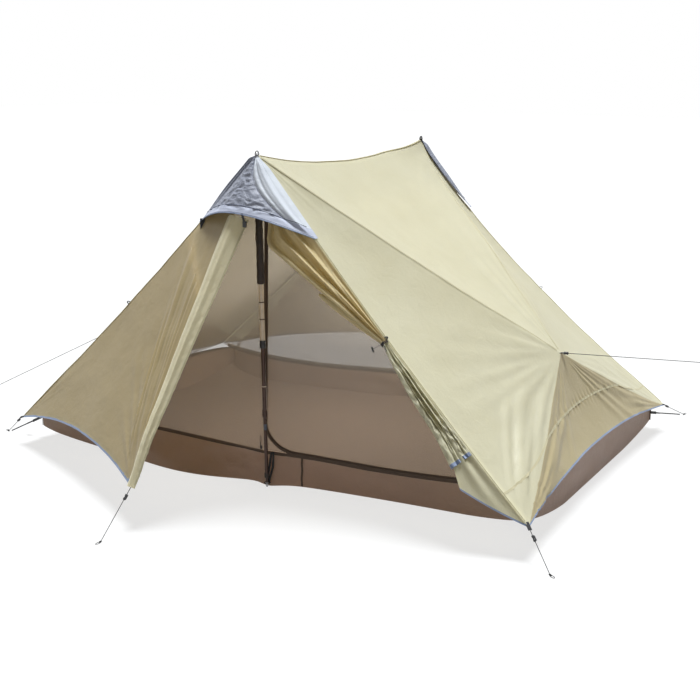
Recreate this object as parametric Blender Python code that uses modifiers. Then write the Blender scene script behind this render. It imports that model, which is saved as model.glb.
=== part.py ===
# Two-pole tent, pitched with two trekking poles: canopy, inner tent, poles and guy lines.
# Metres, +Z up. The origin is on the ground at the middle of the tent.
# -Y is the front, with one door rolled up. The rear half is the front half turned by 180 degrees about Z.

import bpy
import bmesh
from math import cos, pi, sin
from mathutils import Matrix, Vector

# Driving sizes of the canopy
PEAK_Y = 0.655
PEAK_Z = 1.27
CORNER_X = 1.168
VESTIBULE_Y = 1.255

# Canopy: where its points stand from the driving sizes, and how its edges and panels hang
CORNER_Y = PEAK_Y + 0.145
CORNER_Z = 0.113
GUY_X = CORNER_X - 0.206
GUY_Z = 0.504
VESTIBULE_X = -0.147
REAR_VESTIBULE_X = 0.0
VESTIBULE_Z = 0.146
RIDGE_SAG = 0.063
DOOR_SEAM_SAG = 0.045
ROOF_SEAM_SAG = 0.012
FOLD_SAG = 0.012
END_HEM_RISE = 0.063
END_HEM_IN = 0.033
DOOR_HEM_RISE = 0.066
DOOR_HEM_IN = 0.040
PANEL_SAG = 0.014
CANOPY_THICKNESS = 0.0008
APEX_CUT = 0.030
ROOF_GRID = (5, 8)
FRONT_GRID = (8, 5)
END_GRID = (4, 8)

# Doors and hood
HEAD_SHARE = 0.250
DOOR_FOLD = 0.009
DOOR_FOLDS = 5
DOOR_FOLD_CROWDING = 1.5
DOOR_GRID = (6, 22)
HEAD_GRID = (4, 3)
REAR_HEAD_GRID = (4, 6)
HOOD_SIDE_SHARE = 0.235
HOOD_BRIM_OUT = 0.145
HOOD_BRIM_DROP = 0.198
HOOD_LIFT = 0.0012
HOOD_THICKNESS = 0.0012
HOOD_GRID = (5, 10)

# Rolled door: distances down its seam from the peak, and its cross-section at the top, tie and tail
ROLL_START = 0.30
ROLL_TIE = 0.82
ROLL_END = 1.28
ROLL_TOP_WIDTH = 0.20
ROLL_TIE_WIDTH = 0.034
ROLL_TAIL_WIDTH = 0.085
ROLL_TOP_DEPTH = 0.030
ROLL_TAIL_DEPTH = 0.042
ROLL_TAIL_SWELL = 0.7
ROLL_PLEATS = 4
ROLL_PLEAT_DEPTH = 0.28
ROLL_TWIST = 4
ROLL_TOP_STATIONS = 9
ROLL_TAIL_STATIONS = 8
ROLL_SIDES = 20
ROLL_TIE_ROOM = 0.0075
ROLL_TIE_EASE = 4
TIE_RADIUS = 0.0020
TIE_CLEARANCE = 0.0009
TIE_SIDES = 6

# Zip sliders
SLIDER_SIZE = (0.009, 0.014, 0.005)
SLIDER_EDGE = 0.001
SLIDER_LIFT = 0.0034
SLIDER_ASIDE = 0.006
SLIDER_FROM_END = 0.030
SLIDER_FROM_FOOT = 0.012

# Inner tent, which stands a little askew: its front left and rear right corners reach further out
INNER_HALF_X = CORNER_X - 0.068
INNER_HALF_Y = PEAK_Y - 0.045
INNER_SKEW = 0.07
INNER_POLE_BULGE = 0.045
INNER_BULGE_POWER = 3
INNER_BILLOW = 0.088
INNER_BILLOW_LENGTH = 1.0
INNER_BILLOW_CROWDING = 0.7
TUB_HEIGHT = 0.13
TUB_CORNER_HEIGHT = 0.165
FLOOR_THICKNESS = 0.0015
TUB_THICKNESS = 0.0008
MESH_THICKNESS = 0.0006
INNER_PEAK_Y = PEAK_Y - 0.04
INNER_PEAK_Z = PEAK_Z - 0.10
INNER_RIDGE_SAG = 0.055
INNER_SIDE_SAG = 0.02
INNER_APEX_CUT = 0.05
INNER_DOOR_HINGE_ROOM = 0.0016
INNER_DOOR_FOOT_ROOM = 0.0002
FLOOR_GRID = (4, 16)
TUB_LONG_GRID = (2, 16)
TUB_SHORT_GRID = (2, 8)
MESH_SIDE_GRID = (6, 8)
MESH_HALF_GRID = (6, 5)

# Trekking pole, measured along the pole from its foot
POLE_FOOT = (0.045, -PEAK_Y - 0.04, 0.0003)
TUBE_CLEARANCE = 0.0005
KNOB_ROOM = 0.003217
GRIP_BOTTOM = 0.795
GRIP_END_EDGE = (0.002, 0.004)
UPPER_TOP_BELOW_KNOB = 0.075
GRIP_RADIUS = 0.015
KNOB_RADIUS = 0.0175
UPPER_RADIUS = 0.0095
TUBE_WALL_UPPER = 0.0010
TUBE_WALL_MIDDLE = 0.0007
MIDDLE_RADIUS = UPPER_RADIUS - TUBE_WALL_UPPER - TUBE_CLEARANCE
LOWER_RADIUS = MIDDLE_RADIUS - TUBE_WALL_MIDDLE - TUBE_CLEARANCE
UPPER_BOTTOM = 0.55
MIDDLE_BOTTOM = 0.28
TUBE_OVERLAP = 0.12
LOCK_LENGTH = 0.030
LOCK_WALL = 0.0022
LOCK_EDGE = (0.0008, 0.002)
FERRULE_RADIUS = 0.009
FERRULE_TOP = 0.055
FERRULE_LENGTH = 0.018
FERRULE_SHOULDER = 0.004
ROUND_STEPS = 12

# The knob stays clear of the zip line, which falls this steeply from the peak
ZIP_SLOPE = (PEAK_Z - VESTIBULE_Z) / (VESTIBULE_Y - PEAK_Y)
POLE_TOP_BELOW_PEAK = KNOB_RADIUS * ZIP_SLOPE + KNOB_ROOM

# Outlines of the pole's handle and tip: knob and grip as share of radius and distance below the knob's top
KNOB_OUTLINE = ((0.6, 0), (1, 0.010), (1, 0.026))
GRIP_OUTLINE = ((0.86, 0.050), (1, 0.085), (0.9, 0.150), (1, 0.165))
TIP_OUTLINE = ((0.0055, 0.018), (0.0048, 0.004), (0.003, 0), (0, 0))

# Peak cap and its strap
CAP_BELOW_PEAK = 0.0016
CAP_TIP_RADIUS = 0.0010
CAP_RADIUS = 0.0095
CAP_BAND = 0.0085
STRAP_WIDTH = 0.012
STRAP_THICKNESS = 0.0014
STRAP_REACH = 0.025
STRAP_ABOVE_INNER = 0.0001

# Guy lines
CORD_DIAMETER = 0.0025
CORD_POINTS = 8
TENSIONER_LENGTH = 0.022
TENSIONER_RADIUS = 0.0048
TENSIONER_EDGE = (0.001, 0.002)
TENSIONER_WAIST = 0.75
TENSIONER_STEPS = 10
TENSIONER_FROM_END = 0.040
CORD_START = 0.0001
MID_CORD_START = 0.0012

# Gaps and clearances
SEAM_GAP = 0.0010
REST_GAP = 0.0003
RUNNING_CLEARANCE = 0.0003
WIDEST_INSET = 0.4
EDGE_STEP = 0.01
MIDDLE_STEP = 0.1
FAR_OUT = 2

UP = Vector((0, 0, 1))
PEAK = Vector((0, -PEAK_Y, PEAK_Z))
FAR_PEAK = Vector((0, PEAK_Y, PEAK_Z))
VESTIBULE = Vector((VESTIBULE_X, -VESTIBULE_Y, VESTIBULE_Z))
REAR_VESTIBULE = Vector((REAR_VESTIBULE_X, -VESTIBULE_Y, VESTIBULE_Z))
INNER_PEAK = Vector((0, -INNER_PEAK_Y, INNER_PEAK_Z))
INNER_FAR_PEAK = Vector((0, INNER_PEAK_Y, INNER_PEAK_Z))
FRONT = Matrix.Identity(4)
REAR = Matrix.Rotation(pi, 4, "Z")

# How far along X and Y each guy line runs from its point on the canopy to the ground
RUN_FRONT_LEFT = (-0.173, 0.079)
RUN_FRONT_RIGHT = (0.108, -0.077)
RUN_REAR_RIGHT = (0.025, 0.265)
RUN_REAR_LEFT = (-0.108, 0.077)
RUN_FRONT = (0, -0.165)
RUN_REAR = (0, 0.165)
RUN_MID_LEFT = (-0.968, -0.29)

# The right mid line runs nearly level to a tie outside the tent, so its third number is its fall
RUN_MID_RIGHT = (0.738, 0.369, -0.044)


def corner(side, end=-1):
    return Vector((side * CORNER_X, end * CORNER_Y, CORNER_Z))


def guy_point(side):
    return Vector((side * GUY_X, 0, GUY_Z))


def bow(t):
    return 4 * t * (1 - t)


def sagging(a, b, sag):
    """A seam from a to b that hangs by sag at its middle."""
    return lambda t: a.lerp(b, t) - UP * (sag * bow(t))


def part_of(curve, start, end):
    return lambda t: curve(start + (end - start) * t)


def patch(left, right, top, bottom):
    """A surface over four edges: left and right run downwards, top and bottom from left to right."""
    def surface(u, v):
        across = left(u).lerp(right(u), v)
        along = top(v).lerp(bottom(v), u)
        flat = left(0).lerp(right(0), v).lerp(left(1).lerp(right(1), v), u)
        return across + along - flat
    return surface


def point_edge(point):
    return lambda t: point.copy()


# Materials

def material(name, colour, roughness, metallic=0.0):
    made = bpy.data.materials.new(name)
    made.use_nodes = True
    shader = made.node_tree.nodes["Principled BSDF"]
    shader.inputs["Base Color"].default_value = (*colour, 1)
    shader.inputs["Roughness"].default_value = roughness
    shader.inputs["Metallic"].default_value = metallic
    return made


def place(obj, finish, turn=FRONT):
    obj.data.materials.append(finish)
    obj.matrix_world = turn @ obj.matrix_world
    for other in list(obj.users_collection):
        other.objects.unlink(obj)
    TENT.objects.link(obj)
    return obj


def new_object(name, bm):
    mesh = bpy.data.meshes.new(name)
    bm.to_mesh(mesh)
    bm.free()
    mesh.shade_smooth()
    obj = bpy.data.objects.new(name, mesh)
    bpy.context.scene.collection.objects.link(obj)
    return obj


# Builders for the kinds of piece

def side_inset(surface, u, side, room):
    """The share of a row that holds the cloth back by room, measured square to its side edge."""
    row = surface(u, 1) - surface(u, 0)
    edge = surface(min(1, u + EDGE_STEP), side) - surface(max(0, u - EDGE_STEP), side)
    return min(WIDEST_INSET, room * edge.length / row.cross(edge).length)


def sheet(name, surface, grid, thickness, finish, turn=FRONT,
          start=SEAM_GAP / 2, stop=SEAM_GAP / 2, left=SEAM_GAP / 2):
    """Cloth: a grid of rows and columns on the surface, held back from its neighbours and thickened."""
    rows, columns = grid
    bm = bmesh.new()
    bmesh.ops.create_grid(bm, x_segments=rows, y_segments=columns, size=0.5)
    for vert in bm.verts:
        u = vert.co.x + 0.5
        v = vert.co.y + 0.5
        length = (surface(1, v) - surface(0, v)).length
        u = start / length + (1 - (start + stop) / length) * u
        near = side_inset(surface, u, 0, left)
        far = side_inset(surface, u, 1, SEAM_GAP / 2)
        vert.co = surface(u, near + (1 - near - far) * v)
    obj = new_object(name, bm)
    shell = obj.modifiers.new("thickness", "SOLIDIFY")
    shell.thickness = thickness
    shell.offset = 0
    return place(obj, finish, turn)


def turned(name, profile, finish, frame, steps=ROUND_STEPS, turn=FRONT):
    """A turned piece: profile holds (radius, height) pairs down its outer side and up its bore."""
    bm = bmesh.new()
    points = [bm.verts.new((radius, 0, height)) for radius, height in profile]
    for first, second in zip(points, points[1:]):
        bm.edges.new((first, second))
    if profile[0][0] > 0:
        bm.edges.new((points[-1], points[0]))
    obj = new_object(name, bm)
    obj.matrix_world = frame
    spin = obj.modifiers.new("spin", "SCREW")
    spin.steps = steps
    spin.render_steps = steps
    spin.use_merge_vertices = True
    spin.merge_threshold = 0.00001
    return place(obj, finish, turn)


def aligned(origin, direction):
    """A frame at origin whose Z runs along direction."""
    turn = direction.normalized().to_track_quat("Z", "Y").to_matrix().to_4x4()
    return Matrix.Translation(origin) @ turn


def slider(name, centre, along, outward, finish, turn=FRONT):
    """A zip slider: a small rounded body with its length along the zip."""
    bm = bmesh.new()
    bmesh.ops.create_cube(bm, size=1)
    bmesh.ops.scale(bm, vec=SLIDER_SIZE, verts=bm.verts)
    obj = new_object(name, bm)
    side = along.cross(outward).normalized()
    facing = side.cross(along).normalized()
    turning = Matrix((side, along.normalized(), facing)).transposed().to_4x4()
    obj.matrix_world = Matrix.Translation(centre) @ turning
    edge = obj.modifiers.new("edge", "BEVEL")
    edge.width = SLIDER_EDGE
    edge.segments = 1
    return place(obj, finish, turn)


def cord(name, start, end):
    """A taut guy line of straight run from start to end."""
    curve = bpy.data.curves.new(name, "CURVE")
    curve.dimensions = "3D"
    curve.bevel_depth = CORD_DIAMETER / 2
    curve.bevel_resolution = 2
    curve.use_fill_caps = True
    spline = curve.splines.new("POLY")
    spline.points.add(CORD_POINTS - 1)
    for index, point in enumerate(spline.points):
        point.co = (*start.lerp(end, index / (CORD_POINTS - 1)), 1)
    obj = bpy.data.objects.new(name, curve)
    bpy.context.scene.collection.objects.link(obj)
    return place(obj, CORD)


def loft(name, rings, finish):
    """A closed body through rings of as many points each, closed by a fan at both ends."""
    bm = bmesh.new()
    loops = [[bm.verts.new(point) for point in ring] for ring in rings]
    count = len(loops[0])
    for near, far in zip(loops, loops[1:]):
        for index in range(count):
            after = (index + 1) % count
            bm.faces.new((near[index], near[after], far[after], far[index]))
    for loop in (loops[0], loops[-1]):
        middle = sum((vert.co for vert in loop), Vector()) / count
        hub = bm.verts.new(middle)
        for index in range(count):
            bm.faces.new((loop[index], loop[(index + 1) % count], hub))
    bmesh.ops.recalc_face_normals(bm, faces=bm.faces)
    return place(new_object(name, bm), finish)


# Seams of the canopy, in the front half's own frame

def roof_seam(side):
    return sagging(PEAK, guy_point(side), ROOF_SEAM_SAG)


def door_seam(side):
    return sagging(PEAK, corner(side), DOOR_SEAM_SAG)


def corner_fold(side, end=-1):
    return sagging(guy_point(side), corner(side, end), FOLD_SAG)


def end_hem(side):
    front = corner(side, -1)
    rear = corner(side, 1)
    inward = Vector((-side * END_HEM_IN, 0, END_HEM_RISE))
    return lambda t: front.lerp(rear, t) + inward * bow(t)


def door_hem(side, tip):
    start = corner(side)
    inward = Vector((0, DOOR_HEM_IN, DOOR_HEM_RISE))
    return lambda t: start.lerp(tip, t) + inward * bow(t)


def hollowed(surface, depth, outside):
    """The same surface, drawn inwards by depth in its middle; outside is a point beyond its outer face."""
    def drawn(u, v):
        point = surface(u, v)
        along = surface(0.5 + MIDDLE_STEP, 0.5) - surface(0.5 - MIDDLE_STEP, 0.5)
        across = surface(0.5, 0.5 + MIDDLE_STEP) - surface(0.5, 0.5 - MIDDLE_STEP)
        normal = along.cross(across).normalized()
        if normal.dot(outside - point) < 0:
            normal = -normal
        return point - normal * (depth * sin(pi * u) * sin(pi * v))
    return drawn


# Canopy panels

def roof_panel(name, side, turn):
    ridge = sagging(PEAK, FAR_PEAK, RIDGE_SAG)
    near_seam = roof_seam(side)
    far_seam = sagging(FAR_PEAK, guy_point(side), ROOF_SEAM_SAG)
    tip = guy_point(side)
    surface = patch(near_seam, far_seam, ridge, point_edge(tip))
    surface = hollowed(surface, PANEL_SAG, tip + UP * FAR_OUT)
    sheet(name, surface, ROOF_GRID, CANOPY_THICKNESS, KHAKI, turn, stop=APEX_CUT)


def front_panel(name, side, turn):
    surface = patch(roof_seam(side), door_seam(side), point_edge(PEAK), corner_fold(side))
    surface = hollowed(surface, PANEL_SAG, Vector((side, -1, 1)) * FAR_OUT)
    sheet(name, surface, FRONT_GRID, CANOPY_THICKNESS, KHAKI, turn, start=APEX_CUT)


def end_panel(name, side, turn):
    surface = patch(corner_fold(side, -1), corner_fold(side, 1), point_edge(guy_point(side)), end_hem(side))
    surface = hollowed(surface, PANEL_SAG / 2, Vector((side, 0, 1)) * FAR_OUT)
    sheet(name, surface, END_GRID, CANOPY_THICKNESS, KHAKI, turn, start=APEX_CUT)


# Doors: each hangs on its seam below a head piece, which is cut square to the hinge axis

def door_frame(side, tip):
    """Hinge start on the seam, hinge axis down the seam, and where the cut square to it meets the zip."""
    hinge = door_seam(side)(HEAD_SHARE)
    axis = (corner(side) - hinge).normalized()
    down_zip = tip - PEAK
    share = (hinge - PEAK).dot(axis) / down_zip.dot(axis)
    return hinge, axis, PEAK + down_zip * share


def door(name, side, tip, turn):
    hinge, axis, zip_start = door_frame(side, tip)
    seam = part_of(door_seam(side), HEAD_SHARE, 1)
    zip_line = sagging(zip_start, tip, 0)
    flat = patch(seam, zip_line, sagging(hinge, zip_start, 0), door_hem(side, tip))
    normal = axis.cross(zip_start - hinge).normalized()
    if normal.y > 0:
        normal = -normal

    def surface(u, v):
        reach = sin(pi * u) * sin(pi * v)
        pleat = sin(2 * pi * DOOR_FOLDS * v ** DOOR_FOLD_CROWDING)
        return flat(u, v) + normal * (DOOR_FOLD * reach * pleat)

    sheet(name, surface, DOOR_GRID, CANOPY_THICKNESS, KHAKI, turn, start=SEAM_GAP)


def head_surface(side, tip):
    hinge, axis, zip_start = door_frame(side, tip)
    seam = part_of(door_seam(side), 0, HEAD_SHARE)
    return patch(seam, sagging(PEAK, zip_start, 0), point_edge(PEAK), sagging(hinge, zip_start, 0))


def front_head():
    surface = head_surface(-1, VESTIBULE)
    sheet("door_head_front", surface, HEAD_GRID, CANOPY_THICKNESS, KHAKI, FRONT, start=APEX_CUT)


def rear_head():
    """Both halves above the rear doors in one piece, bent along the zip line."""
    left = head_surface(-1, REAR_VESTIBULE)
    right = head_surface(1, REAR_VESTIBULE)

    def surface(u, v):
        if v < 0.5:
            return left(u, v * 2)
        return right(u, 2 - v * 2)

    sheet("door_head_rear", surface, REAR_HEAD_GRID, CANOPY_THICKNESS, KHAKI, REAR, start=APEX_CUT)


def hood(name, turn):
    """A stiff awning from seam to seam, its brim arched forwards."""
    left = part_of(door_seam(-1), 0, HOOD_SIDE_SHARE)
    right = part_of(door_seam(1), 0, HOOD_SIDE_SHARE)
    brim_left = left(1)
    brim_right = right(1)
    middle = PEAK - Vector((0, HOOD_BRIM_OUT, HOOD_BRIM_DROP))
    arch = middle - (brim_left + brim_right) / 2

    def brim(t):
        return brim_left.lerp(brim_right, t) + arch * sin(pi * t)

    lift = Vector((0, -HOOD_LIFT, HOOD_LIFT))
    flat = patch(left, right, point_edge(PEAK), brim)
    sheet(name, lambda u, v: flat(u, v) + lift, HOOD_GRID, HOOD_THICKNESS, GREY, turn, start=APEX_CUT)


def rolled_door():
    """The front right door, pleated from the hood down to its tie, with a fuller tail below the tie."""
    seam = door_seam(1)
    length = (corner(1) - PEAK).length
    axis = (corner(1) - PEAK).normalized()
    inward = (VESTIBULE - PEAK) - axis * (VESTIBULE - PEAK).dot(axis)
    inward.normalize()
    outward = inward.cross(axis).normalized()
    rings = []
    for station in range(-ROLL_TOP_STATIONS, ROLL_TAIL_STATIONS + 1):
        if station < 0:
            share = station / -ROLL_TOP_STATIONS
            reach = ROLL_TIE + (ROLL_START - ROLL_TIE) * share
            width = ROLL_TIE_WIDTH + (ROLL_TOP_WIDTH - ROLL_TIE_WIDTH) * share
            depth = ROLL_TIE_WIDTH + (ROLL_TOP_DEPTH - ROLL_TIE_WIDTH) * share
        else:
            share = station / ROLL_TAIL_STATIONS
            reach = ROLL_TIE + (ROLL_END - ROLL_TIE) * share
            width = ROLL_TIE_WIDTH + (ROLL_TAIL_WIDTH - ROLL_TIE_WIDTH) * share ** ROLL_TAIL_SWELL
            depth = ROLL_TIE_WIDTH + (ROLL_TAIL_DEPTH - ROLL_TIE_WIDTH) * share ** ROLL_TAIL_SWELL
        pleat = min(ROLL_PLEAT_DEPTH, share)
        room = SEAM_GAP + ROLL_TIE_ROOM * max(0, 1 - share * ROLL_TIE_EASE)
        base = seam(reach / length) + inward * room
        ring = []
        for index in range(ROLL_SIDES):
            angle = 2 * pi * index / ROLL_SIDES
            fold = 1 - pleat * (0.5 + 0.5 * cos(ROLL_PLEATS * angle + ROLL_TWIST * reach))
            across = width / 2 * (1 + cos(angle))
            ring.append(base + inward * across + outward * (depth / 2 * sin(angle) * fold))
        rings.append(ring)
    loft("fly_door_front_right", rings, KHAKI)

    middle = seam(ROLL_TIE / length) + inward * (SEAM_GAP + ROLL_TIE_ROOM + ROLL_TIE_WIDTH / 2)
    ring_radius = ROLL_TIE_WIDTH / 2 + TIE_RADIUS + TIE_CLEARANCE
    profile = []
    for index in range(TIE_SIDES):
        angle = -2 * pi * index / TIE_SIDES
        profile.append((ring_radius + TIE_RADIUS * cos(angle), TIE_RADIUS * sin(angle)))
    turned("door_tie", profile, BLACK, aligned(middle, axis))


# Inner tent

def tub_depth(x):
    """How far the front of the tub stands out at x: fullest at the pole, where the foot strap draws it."""
    bulge = INNER_POLE_BULGE * max(0.0, 1 - abs(x) / INNER_HALF_X) ** INNER_BULGE_POWER
    return INNER_HALF_Y - INNER_SKEW * x / INNER_HALF_X + bulge


def tub_top(x):
    return TUB_HEIGHT + (TUB_CORNER_HEIGHT - TUB_HEIGHT) * (abs(x) / INNER_HALF_X) ** 2


def tub_billow(x):
    """How much further the tub stands out on the ground than at its top, left of the pole."""
    share = min(1.0, max(0.0, -x / INNER_BILLOW_LENGTH))
    return INNER_BILLOW * sin(pi * share ** INNER_BILLOW_CROWDING) ** 2


def tub_front_edge(height_at, start=-INNER_HALF_X, end=INNER_HALF_X):
    def edge(t):
        x = start + (end - start) * t
        return Vector((x, -tub_depth(x), height_at(x)))
    return edge


def tub_ground_edge(height):
    def edge(t):
        x = INNER_HALF_X * (2 * t - 1)
        return Vector((x, -tub_depth(x) - tub_billow(x), height))
    return edge


def inner_corner(side, end, height):
    return Vector((side * INNER_HALF_X, end * INNER_HALF_Y + side * INNER_SKEW, height))


def floor():
    low = FLOOR_THICKNESS / 2
    front = tub_ground_edge(low)

    def rear(t):
        return REAR @ front(1 - t)

    left = sagging(inner_corner(-1, -1, low), inner_corner(-1, 1, low), 0)
    right = sagging(inner_corner(1, -1, low), inner_corner(1, 1, low), 0)
    sheet("inner_floor", patch(left, right, front, rear), FLOOR_GRID, FLOOR_THICKNESS, BROWN)


def tub_wall_long(name, turn):
    base = FLOOR_THICKNESS + REST_GAP
    top = tub_front_edge(tub_top)
    bottom = tub_ground_edge(base)
    left = sagging(top(0), bottom(0), 0)
    right = sagging(top(1), bottom(1), 0)
    sheet(name, patch(left, right, top, bottom), TUB_LONG_GRID, TUB_THICKNESS, BROWN, turn, stop=0)


def tub_wall_short(name, side, turn):
    base = FLOOR_THICKNESS + REST_GAP
    room = Vector((0, TUB_THICKNESS, 0))
    top = sagging(inner_corner(side, -1, TUB_CORNER_HEIGHT) + room,
                  inner_corner(side, 1, TUB_CORNER_HEIGHT) - room, 0)
    bottom = sagging(inner_corner(side, -1, base) + room, inner_corner(side, 1, base) - room, 0)
    left = sagging(top(0), bottom(0), 0)
    right = sagging(top(1), bottom(1), 0)
    sheet(name, patch(left, right, top, bottom), TUB_SHORT_GRID, TUB_THICKNESS, BROWN, turn, stop=0)


def mesh_side(name, side, turn):
    top = sagging(INNER_PEAK, INNER_FAR_PEAK, INNER_RIDGE_SAG)
    bottom = sagging(inner_corner(side, -1, TUB_CORNER_HEIGHT), inner_corner(side, 1, TUB_CORNER_HEIGHT), 0)
    left = sagging(top(0), bottom(0), 0)
    right = sagging(top(1), bottom(1), 0)
    surface = hollowed(patch(left, right, top, bottom), INNER_SIDE_SAG, Vector((side, 0, 1)) * FAR_OUT)
    sheet(name, surface, MESH_SIDE_GRID, MESH_THICKNESS, MESH, turn)


def mesh_half(name, side, turn, hinge_room=SEAM_GAP / 2, foot_room=SEAM_GAP / 2):
    """Half of the inner's front, between its slanted edge and the zip line at the middle."""
    bottom = tub_front_edge(tub_top, side * INNER_HALF_X, 0)
    slant = sagging(INNER_PEAK, bottom(0), 0)
    zip_line = sagging(INNER_PEAK, bottom(1), 0)
    surface = patch(slant, zip_line, point_edge(INNER_PEAK), bottom)
    sheet(name, surface, MESH_HALF_GRID, MESH_THICKNESS, MESH, turn,
          start=INNER_APEX_CUT, stop=foot_room, left=hinge_room)


# Poles and peak caps

def bored(radius, steps=ROUND_STEPS):
    """Radius of a many-sided bore that clears a round piece of this radius."""
    return (radius + RUNNING_CLEARANCE) / cos(pi / steps)


def pole_frame():
    """A frame at the pole's foot with Z up the pole, whose axis meets the peak, and the pole's length."""
    foot = Vector(POLE_FOOT)
    run = PEAK - foot
    return aligned(foot, run), run.length - POLE_TOP_BELOW_PEAK


def pole(place_name, turn):
    frame, length = pole_frame()
    upper_top = length - UPPER_TOP_BELOW_KNOB
    grip_bore = bored(UPPER_RADIUS)
    edge_in, edge_up = GRIP_END_EDGE
    grip = [(0, length)]
    grip += [(KNOB_RADIUS * share, length - below) for share, below in KNOB_OUTLINE]
    grip += [(GRIP_RADIUS * share, length - below) for share, below in GRIP_OUTLINE]
    grip += [(GRIP_RADIUS, GRIP_BOTTOM + edge_up), (GRIP_RADIUS - edge_in, GRIP_BOTTOM),
             (grip_bore, GRIP_BOTTOM), (grip_bore, upper_top + REST_GAP), (0, upper_top + REST_GAP)]
    turned("pole_" + place_name + "_grip", grip, BLACK, frame, turn=turn)

    upper_bore = UPPER_RADIUS - TUBE_WALL_UPPER
    tube = [(UPPER_RADIUS, upper_top), (UPPER_RADIUS, UPPER_BOTTOM),
            (upper_bore, UPPER_BOTTOM), (upper_bore, upper_top)]
    turned("pole_" + place_name + "_upper_tube", tube, CREAM, frame, turn=turn)

    middle_top = UPPER_BOTTOM + TUBE_OVERLAP
    middle_bore = MIDDLE_RADIUS - TUBE_WALL_MIDDLE
    tube = [(MIDDLE_RADIUS, middle_top), (MIDDLE_RADIUS, MIDDLE_BOTTOM),
            (middle_bore, MIDDLE_BOTTOM), (middle_bore, middle_top)]
    turned("pole_" + place_name + "_middle_tube", tube, DARK, frame, turn=turn)

    lower_top = MIDDLE_BOTTOM + TUBE_OVERLAP
    lower = [(0, lower_top), (LOWER_RADIUS, lower_top), (LOWER_RADIUS, FERRULE_TOP + FERRULE_SHOULDER),
             (FERRULE_RADIUS, FERRULE_TOP), (FERRULE_RADIUS, FERRULE_TOP - FERRULE_LENGTH), *TIP_OUTLINE]
    turned("pole_" + place_name + "_lower_tube", lower, DARK, frame, turn=turn)

    for lock_name, radius, base in (("upper_lock", UPPER_RADIUS, UPPER_BOTTOM),
                                    ("lower_lock", MIDDLE_RADIUS, MIDDLE_BOTTOM)):
        bore = bored(radius)
        outer = bore + LOCK_WALL
        top = base + LOCK_LENGTH
        edge_in, edge_up = LOCK_EDGE
        ring = [(outer - edge_in, top), (outer, top - edge_up), (outer, base + edge_up),
                (outer - edge_in, base), (bore, base), (bore, top)]
        turned("pole_" + place_name + "_" + lock_name, ring, BLACK, frame, turn=turn)


def peak_cap(place_name, turn):
    """A stiffened pocket on the pole's knob, with the strap that carries the inner tent."""
    name = "peak_cap_" + place_name
    frame, length = pole_frame()
    base = length + REST_GAP
    top = length + POLE_TOP_BELOW_PEAK - CAP_BELOW_PEAK
    profile = [(0, top), (CAP_TIP_RADIUS, top), (CAP_RADIUS, base + CAP_BAND),
               (CAP_RADIUS, base), (0, base)]
    cap = turned(name, profile, BLACK, frame)
    level = (frame @ Vector((0, 0, base + CAP_BAND / 2))).z
    path = [Vector((0, -PEAK_Y + CAP_RADIUS / 2, level)), Vector((0, -PEAK_Y + STRAP_REACH, level)),
            INNER_PEAK + UP * STRAP_ABOVE_INNER]
    bm = bmesh.new()
    bmesh.ops.create_grid(bm, x_segments=1, y_segments=len(path) - 1, size=0.5)
    for vert in bm.verts:
        step = round((vert.co.y + 0.5) * (len(path) - 1))
        vert.co = path[step] + Vector((vert.co.x * STRAP_WIDTH, 0, 0))
    strap = new_object(name + "_strap", bm)
    web = strap.modifiers.new("thickness", "SOLIDIFY")
    web.thickness = STRAP_THICKNESS
    web.offset = 0
    strap.hide_render = True
    strap.display_type = "WIRE"
    bpy.context.scene.collection.objects.unlink(strap)
    SHAPES.objects.link(strap)
    joined = cap.modifiers.new("strap", "BOOLEAN")
    joined.operation = "UNION"
    joined.object = strap
    for piece in (cap, strap):
        piece.matrix_world = turn @ piece.matrix_world


# Guy lines and their tensioners

def tensioner(name, start, direction):
    bore = bored(CORD_DIAMETER / 2, TENSIONER_STEPS)
    half = TENSIONER_LENGTH / 2
    edge_in, edge_up = TENSIONER_EDGE
    profile = [(TENSIONER_RADIUS - edge_in, half), (TENSIONER_RADIUS, half - edge_up),
               (TENSIONER_RADIUS * TENSIONER_WAIST, 0), (TENSIONER_RADIUS, edge_up - half),
               (TENSIONER_RADIUS - edge_in, -half), (bore, -half), (bore, half)]
    centre = start + direction.normalized() * TENSIONER_FROM_END
    turned(name, profile, BLACK, aligned(centre, direction), steps=TENSIONER_STEPS)


def on_ground(anchor, run):
    """The far end of a guy line that lies on the ground, this far from its anchor along X and Y."""
    return Vector((anchor.x + run[0], anchor.y + run[1], CORD_DIAMETER / 2))


def guy_line(name, anchor, run):
    peg = on_ground(anchor, run)
    direction = (peg - anchor).normalized()
    start = anchor + direction * CORD_START
    cord("guy_" + name, start, peg)
    tensioner("tensioner_" + name, start, direction)


def mid_guy_line(name, anchor, end):
    start = anchor + (end - anchor).normalized() * MID_CORD_START
    cord("guy_" + name, start, end)


def guy_lines():
    guy_line("front_left", corner(-1, -1), RUN_FRONT_LEFT)
    guy_line("front_right", corner(1, -1), RUN_FRONT_RIGHT)
    guy_line("rear_left", corner(-1, 1), RUN_REAR_LEFT)
    guy_line("rear_right", corner(1, 1), RUN_REAR_RIGHT)
    guy_line("front", VESTIBULE, RUN_FRONT)
    guy_line("rear", REAR @ REAR_VESTIBULE, RUN_REAR)
    mid_guy_line("mid_left", guy_point(-1), on_ground(guy_point(-1), RUN_MID_LEFT))
    mid_guy_line("mid_right", guy_point(1), guy_point(1) + Vector(RUN_MID_RIGHT))


# Zip sliders

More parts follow.
